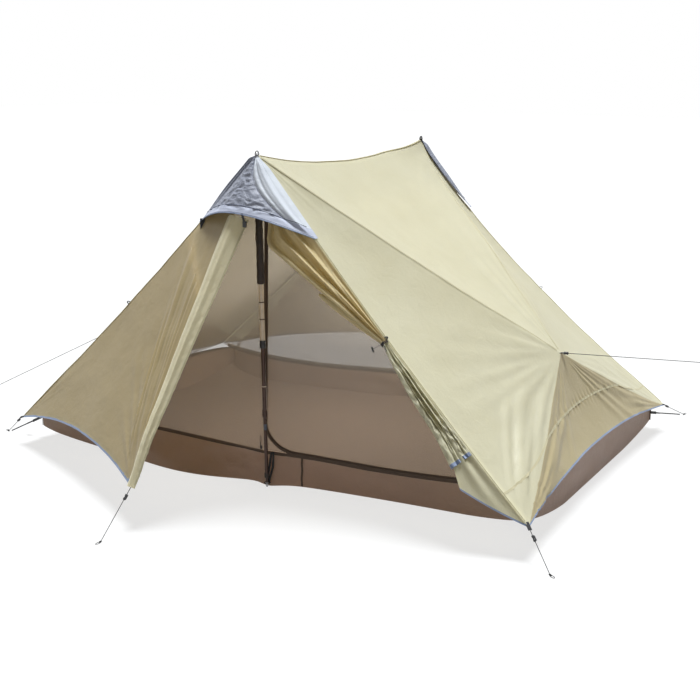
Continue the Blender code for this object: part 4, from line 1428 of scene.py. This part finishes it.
def tub_ground(t):
    x = INNER_HALF_X * (2 * np.asarray(t, float) - 1)
    return np.stack([x, -tub_depth(x) - tub_billow(x), FLOOR_LOW + 0 * x], -1)


def inner_corner(side, end, height):
    return spot(side * INNER_HALF_X, end * INNER_HALF_Y + side * INNER_SKEW, height)


def tub_creases(points):
    """Creases drawn from the pole's foot and from the corners, and slack between them."""
    folds = []
    for turn, seed in ((FRONT, 120), (REAR, 130)):
        out = AHEAD * turn
        foot = spot(FOOT_X, CREASE_Y, 0) * turn
        folds.append(fan(foot, spot(-0.5, 0, 1) * turn, out, 0.8, 7, 0.014, 0.26, seed))
        folds.append(fan(foot, spot(1, 0, 0.7) * turn, out, 0.6, 5, 0.012, 0.30, seed + 1))
        for side in (-1, 1):
            ends = inner_corner(side, -1, TUB_CORNER_HEIGHT) * turn
            folds.append(fan(ends, spot(-side, 0, -0.14) * turn, out, 0.14, 4, 0.006, 0.60, seed + 3 + side))
    total = sum(push(points) for push in folds)
    slack = uneven(points * spot(1, 1, 2.5), 0.16, 0.010, 4.0)
    slack = slack + uneven(points * spot(1, 1, 2), 0.045, 0.0022, 6.0)
    away = points * spot(1, 1, 0)
    away = away / np.maximum(np.linalg.norm(away, axis=-1, keepdims=True), 0.2)
    share = np.sin(pi * np.clip(points[..., 2:] / TUB_HEIGHT, 0, 1)) ** 0.8
    return corners_drawn(points + (total + away * slack[..., None]) * share)


def corners_drawn(points):
    """The tub's corners drawn out to where their straps pull them."""
    for (side, end), (tip, reach) in TUB_TIPS.items():
        place = inner_corner(side, end, 0)
        away = np.linalg.norm((points - place) * spot(1, 1, 0), axis=-1)
        share = TIP_PULL * np.clip(1 - away / reach, 0, 1) ** 1.6
        target = spot(tip[0], tip[1], tip[2] * (1 - TIP_HEIGHT_KEPT)) + points * UP * TIP_HEIGHT_KEPT
        points = points + (target - points) * share[..., None]
    return points


def make_tub():
    top = tub_edge(tub_top)
    front_wall = between(top, tub_ground)
    end_edges = [sagging(inner_corner(1, -1, height), inner_corner(1, 1, height))
                 for height in (TUB_CORNER_HEIGHT, FLOOR_LOW)]
    panels = []
    for turn in (FRONT, REAR):
        for wall, steps in ((front_wall, WALL_STEPS), (between(*end_edges), SHORT_STEPS)):
            grid = tub_creases(mesh_grid(wall, even(WALL_ROWS), steps) * turn)
            numbers = all_faces(grid, 0)
            numbers[0] = 1
            panels.append((grid, numbers))
    ground = between(tub_ground, lambda t: tub_ground(1 - np.asarray(t, float)) * REAR)
    grid = tub_creases(mesh_grid(ground, SHORT_STEPS, WALL_STEPS))
    grid[..., 2] = np.maximum(grid[..., 2], FLOOR_LOW)
    panels.append((grid, None))
    tub = cloth("tub", panels, [TUB, TAPE], thickness=0.0008)
    walls = ["inner_tub_" + side for side in ("front", "rear", "left", "right")]
    finished(tub, "root", "brown_nylon", "inner_floor", *walls)
    make_tub_seams(top, end_edges[0], front_wall)


def tub_tape(path, aside, across, width):
    return ribbon("tub_seam", path + aside, across, width, TAPE, crown=0.0006)


def make_tub_seams(long_top, end_top, wall):
    """Tape along the tub's top edges, down one seam of each long wall and down the corners."""
    seams = []
    for turn in (FRONT, REAR):
        out = AHEAD * 0.0012 * turn
        path = tub_creases(long_top(np.linspace(0, 0.56, 90)) * turn) - UP * 0.003
        seams.append(tub_tape(path, out, UP, 0.007))
        path = tub_creases(end_top(np.linspace(0, 1, 60)) * turn) - UP * 0.004
        seams.append(tub_tape(path, ACROSS * 0.0012 * turn, UP, 0.010))
        path = tub_creases(wall(np.linspace(0.05, 0.98, 14), np.full(14, WALL_SEAM)) * turn)
        seams.append(tub_tape(path, out, ACROSS, 0.009))
        for side in (-1, 1):
            heights = np.linspace(0.004, TUB_CORNER_HEIGHT - 0.002, 14)[:, None]
            path = corners_drawn(inner_corner(side, -1, 0) * turn + UP * heights)
            seams.append(tub_tape(path, spot(side, -1, 0) * turn * 0.002, spot(1, side, 0), 0.009))
    finished(joined("tub_seams", seams), "root", "brown_nylon")


DOOR_ROOM = 0.0022
NET_THICKNESS = 0.0004
NET_ROWS = 46
NET_HALF_COLUMNS = 30
NET_SIDE_COLUMNS = 40
NET_SIDE_OUT = unit(spot(0.7, 0, 0.7))
TAPE_ASIDE = 0.012
TAPE_TURN = 0.13
TAPE_BEND_FROM = 0.88
TAPE_FOOT = 0.996


def net_half(side):
    return between(point_edge(INNER_PEAK), tub_edge(tub_top, side * INNER_HALF_X, 0))


def net_ridge():
    return sagging(INNER_PEAK, INNER_PEAK * REAR, INNER_RIDGE_SAG)


def net_side():
    bottom = sagging(inner_corner(1, -1, TUB_CORNER_HEIGHT), inner_corner(1, 1, TUB_CORNER_HEIGHT))
    return hollowed(between(net_ridge(), bottom), INNER_SIDE_SAG, NET_SIDE_OUT)


def net_slack(grid, out):
    """Slight waves in the net, none at its edges."""
    rows, columns = grid.shape[:2]
    inside = np.outer(np.sin(pi * even(rows)), np.sin(pi * even(columns)))
    return settle(grid + out * (uneven(grid, 0.22, 0.012, 8.0) * inside)[..., None])


def make_net():
    rows = even(NET_ROWS)
    panels = []
    for turn in (FRONT, REAR):
        half = mesh_grid(net_half(-1), rows, even(NET_HALF_COLUMNS)) * turn
        side = mesh_grid(net_side(), rows, even(NET_SIDE_COLUMNS)) * turn
        panels += [(net_slack(half, AHEAD * turn), None), (net_slack(side, NET_SIDE_OUT * turn), None)]
    net = cloth("net", panels, [NET], thickness=NET_THICKNESS)
    nodes = ["inner_mesh_" + side for side in ("left", "right", "front", "rear")]
    finished(net, "root", "dark_mesh", *nodes)


def make_net_door(end, turn):
    columns = np.linspace(4 * DOOR_ROOM / INNER_HALF_X, 1, NET_HALF_COLUMNS)
    grid = mesh_grid(net_half(1), np.linspace(0.045, 0.999, NET_ROWS), columns) * turn
    door = cloth("net_door_" + end, [(net_slack(grid, AHEAD * turn), None)], [NET], thickness=NET_THICKNESS)
    body = "inner_door_" + end
    finished(door, body, "dark_mesh", body)
    finished(door_tape(end, turn), body, "brown_nylon")


def make_net_seams():
    """Tape over the seams between the net's panels and along its ridge."""
    seams = []
    for turn in (FRONT, REAR):
        for side in (-1, 1):
            edge = sagging(INNER_PEAK, inner_corner(side, -1, TUB_CORNER_HEIGHT))
            line = edge(np.linspace(0.01, 0.995, 60))
            path = settle((line + spot(side, -1, 0) * 0.0016) * turn)
            seams.append(ribbon("net_seam", path, spot(side, 0.8, 0.3) * turn, 0.008, NET_TAPE,
                                crown=0.0004, lean=0.55 if side > 0 else 0.0))
    ridge = settle(net_ridge()(np.linspace(0.005, 0.995, 60)) + UP * 0.001)
    seams.append(ribbon("net_seam", ridge, ACROSS, 0.008, NET_TAPE))
    finished(joined("net_seams", seams), "root", "brown_nylon")


def door_tape(end, turn):
    """The zip tape of an inner door: down beside the pole, round a corner and along the tub's top edge."""
    places = [(u, 1 - TAPE_ASIDE / (u * INNER_HALF_X)) for u in np.linspace(0.06, TAPE_BEND_FROM, 60)]
    for angle in np.linspace(0, pi / 2, 16)[1:]:
        places.append((TAPE_BEND_FROM + (TAPE_FOOT - TAPE_BEND_FROM) * sin(angle),
                       1 - (TAPE_ASIDE + TAPE_TURN * (1 - cos(angle))) / INNER_HALF_X))
    places += [(TAPE_FOOT, v) for v in np.linspace(places[-1][1], 0.03, 70)[1:]]
    path = settle(net_half(1)(*np.transpose(places)) * turn)
    out = AHEAD * turn
    across = np.cross(np.gradient(path, axis=0), out)
    tape = ribbon("tape", path + out * 0.0022, across, 0.017, TAPE, crown=0.0006)
    coil = meshed(tube("coil", path + out * 0.0040, 0.0042, TAPE))
    return joined("net_door_tape_" + end, [tape, coil])


# Straps of the inner tent

STRAP_STEPS = 6
STRAP_REACH = 0.93
STRAP_ASIDE = 0.05
HIDDEN_STRAPS = ((1, -1), (-1, 1))
POLE_FOOT_Y = -PEAK_Y - 0.04
LOOP_RING_Z = 0.016


def strap(points, across, width):
    """A webbing strap along the straight stretches between points."""
    points = [Vector(place_of(point)) for point in points]
    line = []
    for first, second in zip(points, points[1:]):
        line += [first.lerp(second, step / STRAP_STEPS) for step in range(STRAP_STEPS)]
    line.append(points[-1])
    return ribbon("strap", np.array(line), across, width, WEB, thickness=0.0016, columns=2)


def make_corner_straps():
    """Straps from the tub's corners: two short ones to the hem, and two with clips to beside the pegs."""
    pieces = []
    for (side, end), run in CORNER_RUNS.items():
        start = spot(*TUB_TIPS[(side, end)][0])
        hem = corner(side, end)
        if (side, end) in HIDDEN_STRAPS:
            stop = hem + (start - hem) * 0.04
        else:
            stop = spot(hem[0] + run[0] * STRAP_REACH, hem[1] + run[1] * STRAP_REACH, 0.004)
            aside = spot(-run[1], run[0], 0)
            stop = stop + aside * np.sign(aside @ (start - hem)) * STRAP_ASIDE
        way = unit(stop - start)
        across = np.cross(way, unit(spot(side, end, 0)))
        across = unit(across) if np.linalg.norm(across) > 0.2 else UP
        pieces.append(strap([start - way * 0.012, start + way * 0.05], across, 0.012))
        clip = aligned(start + way * 0.066, way)
        pieces.append(box_piece("clip", (0.015, 0.006, 0.034), clip, PLASTIC, edge=0.002))
        pieces.append(strap([start + way * 0.078, stop], across, 0.005))
    finished(joined("corner_straps", pieces), "root", "black_plastic")


def make_foot_loops():
    """The webbing from the tub to a ring round each pole's foot: two strands from its top and one below."""
    pieces = []
    foot = spot(FOOT_X, POLE_FOOT_Y, LOOP_RING_Z)
    for turn in (FRONT, REAR):
        for lean in (-0.005, 0.005):
            strand = [spot(0.041 + lean, -tub_depth(0.05) - 0.003, 0.128),
                      spot(0.050 + lean * 1.6, -0.672, 0.075), foot + spot(lean * 0.8, 0.004, 0)]
            pieces.append(strap([point * turn for point in strand], ACROSS, 0.009))
        pieces.append(level_ring("foot_ring", foot * turn, 0.0115 * turn[0], 0.0032, PLASTIC))
        low = spot(FOOT_X, -tub_depth(FOOT_X) - 0.002, 0.012)
        pieces.append(strap([low * turn, (foot + spot(0, 0.010, -0.002)) * turn], ACROSS, 0.014))
    finished(joined("foot_loops", pieces), "root", "black_plastic")


# Poles

GRIP_BOTTOM = 0.795
UPPER_BOTTOM = 0.55
MIDDLE_BOTTOM = 0.28
LOCK_LENGTH = 0.030
UPPER_RADIUS = 0.0095
MIDDLE_RADIUS = 0.0080
LOWER_RADIUS = 0.0068
KNOB_ROOM = 0.003217
KNOB_RADIUS = 0.0175
# The handle's upper end, as (radius, distance down from its top), and its foot, as (radius, height above it)
KNOB = ((0, 0), (0.006, 0.0008), (0.0125, 0.004), (0.0168, 0.010), (KNOB_RADIUS, 0.016), (0.0172, 0.026),
        (0.0150, 0.036), (0.0130, 0.050), (0.0138, 0.068), (0.0148, 0.085))
GRIP_FOOT = ((0.0152, 0.008), (0.0152, 0.003), (0.0130, 0), (0.0098, 0))
GRIP_RINGS = 64
# The lower tube's mud ring, neck and steel tip, as (radius, height above the ground)
POLE_TIP = [(0.0088, 0.056), (0.0090, 0.054), (0.0090, 0.039), (0.0082, 0.037), (0.0055, 0.036),
            (0.0055, 0.018), (0.0048, 0.014), (0.0048, 0.004), (0.0042, 0.002), (0.0030, 0.0), (0, 0.0004)]


def pole_frame():
    """The pole's frame at its tip, and its length up to the knob, which stands under the peak's slopes."""
    foot = spot(FOOT_X, POLE_FOOT_Y, 0.0003)
    run = PEAK - foot
    slope = (PEAK_Z - VESTIBULE_Z) / (VESTIBULE_Y - PEAK_Y)
    return aligned(foot, run), float(np.linalg.norm(run)) - KNOB_RADIUS * slope - KNOB_ROOM


def rounded_band(radius, top, bottom, edge=0.0015):
    return [(radius - edge, top), (radius - edge * 0.3, top - edge * 0.3), (radius, top - edge),
            (radius, bottom + edge), (radius - edge * 0.3, bottom + edge * 0.3), (radius - edge, bottom)]


def label_plate(radius, top, bottom, half_angle, frame_matrix, bearing):
    """A blank label wrapped part of the way round the pole."""
    angles = np.linspace(-half_angle, half_angle, 12)
    rows = [[(radius * sin(a), -radius * cos(a), height) for a in angles]
            for height in np.linspace(top, bottom, 6)]
    plate = cloth("label_plate", [(np.array(rows, float), None)], [CREAM], thickness=0.0006)
    plate.matrix_world = frame_matrix @ Matrix.Rotation(radians(bearing), 4, "Z")
    return plate


def grip_profile(length):
    """The handle: a knob, a neck and a finely ribbed grip."""
    profile = [(radius, length - down) for radius, down in KNOB]
    heights = np.linspace(length - 0.095, GRIP_BOTTOM + 0.014, GRIP_RINGS)
    for number, height in enumerate(heights):
        swell = 0.0146 - 0.0005 * cos(tau * number / 8) - 0.0010 * sin(pi * number / (GRIP_RINGS - 1))
        profile.append((swell, float(height)))
    return profile + [(radius, GRIP_BOTTOM + up) for radius, up in GRIP_FOOT]


def tube_profile(radius, inner_radius, top, bottom, edges):
    """A tube from top to bottom, drawn in to the next tube, with the edges of its painted bands."""
    return [(radius - 0.001, top), (radius, top - 0.001), *[(radius, edge) for edge in edges],
            (radius, bottom + 0.0005), (inner_radius + 0.0006, bottom)]


def make_lock(end, lock, radius, base, finish, frame_matrix):
    """A lock collar: two rounded bands with a groove between them; the lower one has a label."""
    outer = radius + 0.0026
    bore = radius + 0.0003
    profile = [(bore, base + LOCK_LENGTH), *rounded_band(outer, base + LOCK_LENGTH, base + 0.021),
               *rounded_band(outer - 0.0006, base + 0.0205, base + 0.0175, 0.0005),
               *rounded_band(outer, base + 0.017, base), (bore, base)]
    name = "pole_lock_" + lock + "_" + end
    piece = turned(name, profile, [finish], frame_matrix)
    if lock == "lower":
        plate = label_plate(outer + 0.0003, base + 0.025, base + 0.001, 0.62, frame_matrix, -35)
        piece = joined(name, [piece, plate])
    node_name = "pole_" + end + "_" + lock + "_lock"
    finished(piece, node_name, "black_plastic", node_name)


def make_pole(end, turn):
    frame_matrix, length = pole_frame()
    if turn is REAR:
        frame_matrix = Matrix.Rotation(pi, 4, "Z") @ frame_matrix
        length -= PEAK_DROP
    prefix = "pole_" + end

    grip = turned("grip_" + end, grip_profile(length), [RUBBER], frame_matrix)
    plate = label_plate(0.0158, 0.982, 0.952, 0.75, frame_matrix, 20)
    finished(joined("pole_grip_" + end, [grip, plate]), "root", "black_plastic", prefix + "_grip")

    upper = tube_profile(UPPER_RADIUS, MIDDLE_RADIUS, 0.90, UPPER_BOTTOM, (0.728, 0.724, 0.663, 0.659))
    piece = banded("pole_upper_" + end, upper, [CREAM, DARK], {2: 1, 4: 1}, frame_matrix)
    finished(piece, "root", "cream_tube", prefix + "_upper_tube")

    middle = tube_profile(MIDDLE_RADIUS, LOWER_RADIUS, 0.669, MIDDLE_BOTTOM, (0.402, 0.399))
    piece = banded("pole_middle_" + end, middle, [DARK, CREAM], {2: 1}, frame_matrix)
    finished(piece, prefix + "_middle_tube", "dark_tube", prefix + "_middle_tube")

    ring = LOWER_RADIUS + 0.0003
    lower = [(0, 0.400), (LOWER_RADIUS, 0.399), (LOWER_RADIUS, 0.253), (ring, 0.252), (ring, 0.229),
             (LOWER_RADIUS, 0.228), (LOWER_RADIUS, 0.059), *POLE_TIP]
    bands = {3: 2, **dict.fromkeys(range(7, 10), 1), **dict.fromkeys(range(12, 17), 3)}
    piece = banded("pole_lower_" + end, lower, [DARK, RUBBER, SLATE, STEEL], bands, frame_matrix)
    finished(piece, prefix + "_lower_tube", "dark_tube", prefix + "_lower_tube")

    make_lock(end, "upper", UPPER_RADIUS, UPPER_BOTTOM, PLASTIC, frame_matrix)
    make_lock(end, "lower", MIDDLE_RADIUS, MIDDLE_BOTTOM, DARK, frame_matrix)


def banded(name, profile, finishes, bands, frame_matrix):
    """A turned piece whose faces below the listed profile points take other materials."""
    piece = turned(name, profile, finishes, frame_matrix)
    heights = [height for radius, height in profile]
    for face in piece.data.polygons:
        for index, slot in bands.items():
            if heights[index + 1] - 1e-5 <= face.center.z <= heights[index] + 1e-5:
                face.material_index = slot
    return piece


# Small fittings

# The blocks of a zip slider: size, place along the zip and out from it, and rounded edge
SLIDER_BLOCKS = {"top": ((0.009, 0.014, 0.0018), 0, 0.0016, 0.0008),
                 "base": ((0.009, 0.013, 0.0018), 0, -0.0016, 0.0008),
                 "post": ((0.0022, 0.005, 0.004), 0.003, 0, 0.0004),
                 "bridge": ((0.0018, 0.009, 0.0012), 0, 0.0036, 0.0004),
                 "pull": ((0.0042, 0.018, 0.0012), 0.012, 0.0040, 0.0005)}
# The small barrel on each mid line, as (radius, distance from its middle)
LINE_LOCK = [(0, 0.010), (0.004, 0.0095), (0.0058, 0.006), (0.0046, 0.001), (0.0058, -0.004),
             (0.004, -0.0095), (0, -0.010)]


def make_slider(name, centre, along, outward, turn, node_name):
    """A zip slider with its bridge, pull and a short cord loop on the pull."""
    along = unit(along) * turn
    across = unit(np.cross(along, unit(outward) * turn))
    outward = unit(np.cross(across, along))
    centre = centre * turn
    axes = Matrix([place_of(across), place_of(along), place_of(outward)]).transposed().to_4x4()
    pieces = []
    for block, (size, ahead, out, edge) in SLIDER_BLOCKS.items():
        frame_matrix = moved(centre + along * ahead + outward * out) @ axes
        pieces.append(box_piece("slider_" + block, size, frame_matrix, PLASTIC, edge))
    loop = []
    for step in range(12):
        angle = tau * step / 12
        loop.append(centre + outward * 0.0040 + along * (0.034 - 0.015 * cos(angle))
                    + across * (0.0032 * sin(angle)))
    pieces.append(meshed(tube("slider_cord", loop, 0.0018, WEB, closed=True, smooth_line=True)))
    finished(joined(name, pieces), name, "black_plastic", node_name)


def make_sliders(end, tip, turn):
    hinge, axis, zip_start = door_frame(-1, tip)
    down = unit(tip - zip_start)
    outward = unit(np.cross(axis, down))
    centre = zip_start + down * 0.030 + outward * 0.0034 - np.cross(outward, down) * 0.006
    make_slider("fly_slider_" + end, centre, down, outward, turn, "fly_zip_slider_" + end)
    foot = tub_edge(tub_top)(0.5)
    up = unit(INNER_PEAK - foot)
    centre = foot + up * 0.012 + spot(-0.006, -0.0034, 0)
    make_slider("inner_slider_" + end, centre, up, AHEAD, turn, "inner_zip_slider_" + end)


def webbing_loop(base, outward, along, size, width=0.008):
    """A small standing loop of webbing sewn to the cloth at base."""
    outward = unit(outward)
    along = square_to(outward, along)
    across = np.cross(outward, along)
    path = []
    for angle in np.linspace(-0.15, pi + 0.15, 15):
        path.append(base + outward * (size * sin(angle)) + along * (size * 0.45 * cos(angle)))
    return ribbon("loop", np.array(path), across, width, WEB, thickness=0.0014, columns=2)


def peak_fittings(turn):
    """The loop and grommet on the peak, and beside each doorway a loop and the corner's tab."""
    peak = pulled(PEAK * turn)
    pieces = [webbing_loop(peak + UP * 0.001, UP, spot(0.9, 0.3, 0) * turn, 0.014, 0.010),
              level_ring("grommet", peak + UP * 0.0045, 0.0075, 0.0032, STEEL)]
    for side in (-1, 1):
        middle = pulled(door_seam(side)(0.5) * turn)
        away = spot(side * 0.75, -0.45, 0.5) * turn
        pieces.append(webbing_loop(middle, away, (corner(side) - PEAK) * turn, 0.011, 0.006))
        place = corner(side) * turn
        run = unit(spot(*CORNER_RUNS[(int(side * turn[0]), int(-turn[1]))], 0) + UP * -0.1)
        tab = [place - run * 0.020 + UP * 0.002, place + run * 0.010]
        pieces.append(strap(tab, np.cross(run, UP), 0.014))
    return pieces


def mid_fittings(side):
    """The tab at a mid guy point and the small barrel that its line leaves through."""
    place = pulled(guy_point(side))
    way = unit(MID_ENDS[side] - guy_point(side))
    return [strap([place - way * 0.014, place + way * 0.012], np.cross(way, UP), 0.013),
            turned("line_lock", LINE_LOCK, [PLASTIC], aligned(place + way * 0.019, way), 20)]


def hood_fittings():
    """The strap at the front hood's left corner, and a strap with a clip under the brim of each hood."""
    surface = hood_surface()
    left = surface(np.array(0.99), np.array(0.045))
    middle = surface(np.array(0.99), np.array(0.56))
    fall = [left + spot(0.004, -0.004, 0.006), left, left + spot(0.006, -0.006, -0.042)]
    pieces = [strap(fall, spot(0.8, 0.6, 0), 0.018)]
    for turn in (FRONT, REAR):
        hanging = [middle * turn, (middle + spot(0, 0.012, -0.030)) * turn]
        pieces.append(strap(hanging, ACROSS * turn, 0.010))
        clip = moved((middle + spot(0, 0.015, -0.040)) * turn)
        pieces.append(box_piece("hood_clip", (0.016, 0.007, 0.022), clip, PLASTIC, edge=0.002))
    return pieces


def make_fittings():
    pieces = peak_fittings(FRONT) + peak_fittings(REAR) + mid_fittings(-1) + mid_fittings(1) + hood_fittings()
    finished(joined("fittings", pieces), "root", "black_plastic")


make_rolled_door()
for end_name, tip, turn in ENDS:
    make_flap(end_name, tip, turn)
    make_hood(end_name, turn)
    make_pole(end_name, turn)
    bpy.data.objects["peak_cap_" + end_name].material_slots[0].material = WEB
make_tub()
make_net()
for end_name, tip, turn in ENDS:
    make_net_door(end_name, turn)
make_net_seams()
make_corner_straps()
make_foot_loops()
for end_name, tip, turn in ENDS:
    make_sliders(end_name, tip, turn)
make_fittings()

# Floor and light

FLOOR_Z = -0.0006
FLOOR_GREY = (0.24, 0.24, 0.24, 1)
WARM = (1.0, 0.93, 0.84, 1)
WHITE = (1, 1, 1, 1)
KEY_ANGLE = radians(24)
KEY_ENERGY = 5.0
KEY_COLOUR = (0.95, 0.98, 1.0)
KEY_FROM = (-0.08, 0.22, 0.97)
INNER_COLOUR = (1.0, 0.93, 0.80)
INNER_LENGTH = 0.8
# The two lights inside: height, tilt, width and energy
INNER_LIGHTS = ((0.98, 0, 0.36, 7), (0.22, pi, 1.0, 9))


def lit(tree, kind, lighting, showing):
    """A shader that glows warm and weak where it lights, and white and stronger where it shows."""
    path = add_node(tree, "LightPath").outputs
    seen = math(tree, "MAXIMUM", path["Is Camera Ray"], path["Is Glossy Ray"])
    seen = math(tree, "MAXIMUM", seen, path["Is Transmission Ray"])
    colour = mixed(tree, seen, WARM, WHITE)
    return add_node(tree, kind, Color=colour, Strength=ranged(tree, seen, lighting, showing))


def make_floor():
    bm = bmesh.new()
    bmesh.ops.create_grid(bm, x_segments=1, y_segments=1, size=30)
    mesh = bpy.data.meshes.new("studio_floor")
    bm.to_mesh(mesh)
    bm.free()
    made, tree = new_material("studio_floor")
    matt = add_node(tree, "BsdfDiffuse", Color=FLOOR_GREY)
    shown(tree, both(tree, "Add", matt, lit(tree, "Emission", 0.18, 0.72)))
    floor = linked("studio_floor", mesh, [made])
    floor.location.z = FLOOR_Z


def make_world():
    world = bpy.data.worlds.new("studio")
    bpy.context.scene.world = world
    world.use_nodes = True
    tree = world.node_tree
    tree.nodes.clear()
    output = tree.nodes.new("ShaderNodeOutputWorld")
    tree.links.new(lit(tree, "Background", 0.06, 1.0).outputs[0], output.inputs["Surface"])


def make_sun():
    sun = bpy.data.lights.new("key", "SUN")
    sun.energy = KEY_ENERGY
    sun.color = KEY_COLOUR
    sun.angle = KEY_ANGLE
    linked("key", sun).rotation_euler = Vector(KEY_FROM).to_track_quat("Z", "Y").to_euler()


def make_inner_light():
    """Soft light from under the ridge and from the floor, for the daylight that thin cloth lets in."""
    for height, tilt, width, energy in INNER_LIGHTS:
        lamp = bpy.data.lights.new("inner", "AREA")
        lamp.shape = "RECTANGLE"
        lamp.size = width
        lamp.size_y = INNER_LENGTH
        lamp.energy = energy
        lamp.color = INNER_COLOUR
        holder = linked("inner", lamp)
        holder.location.z = height
        holder.rotation_euler.x = tilt
        holder.visible_camera = False


make_floor()
make_world()
make_sun()
make_inner_light()
bpy.context.scene.view_settings.view_transform = "Standard"
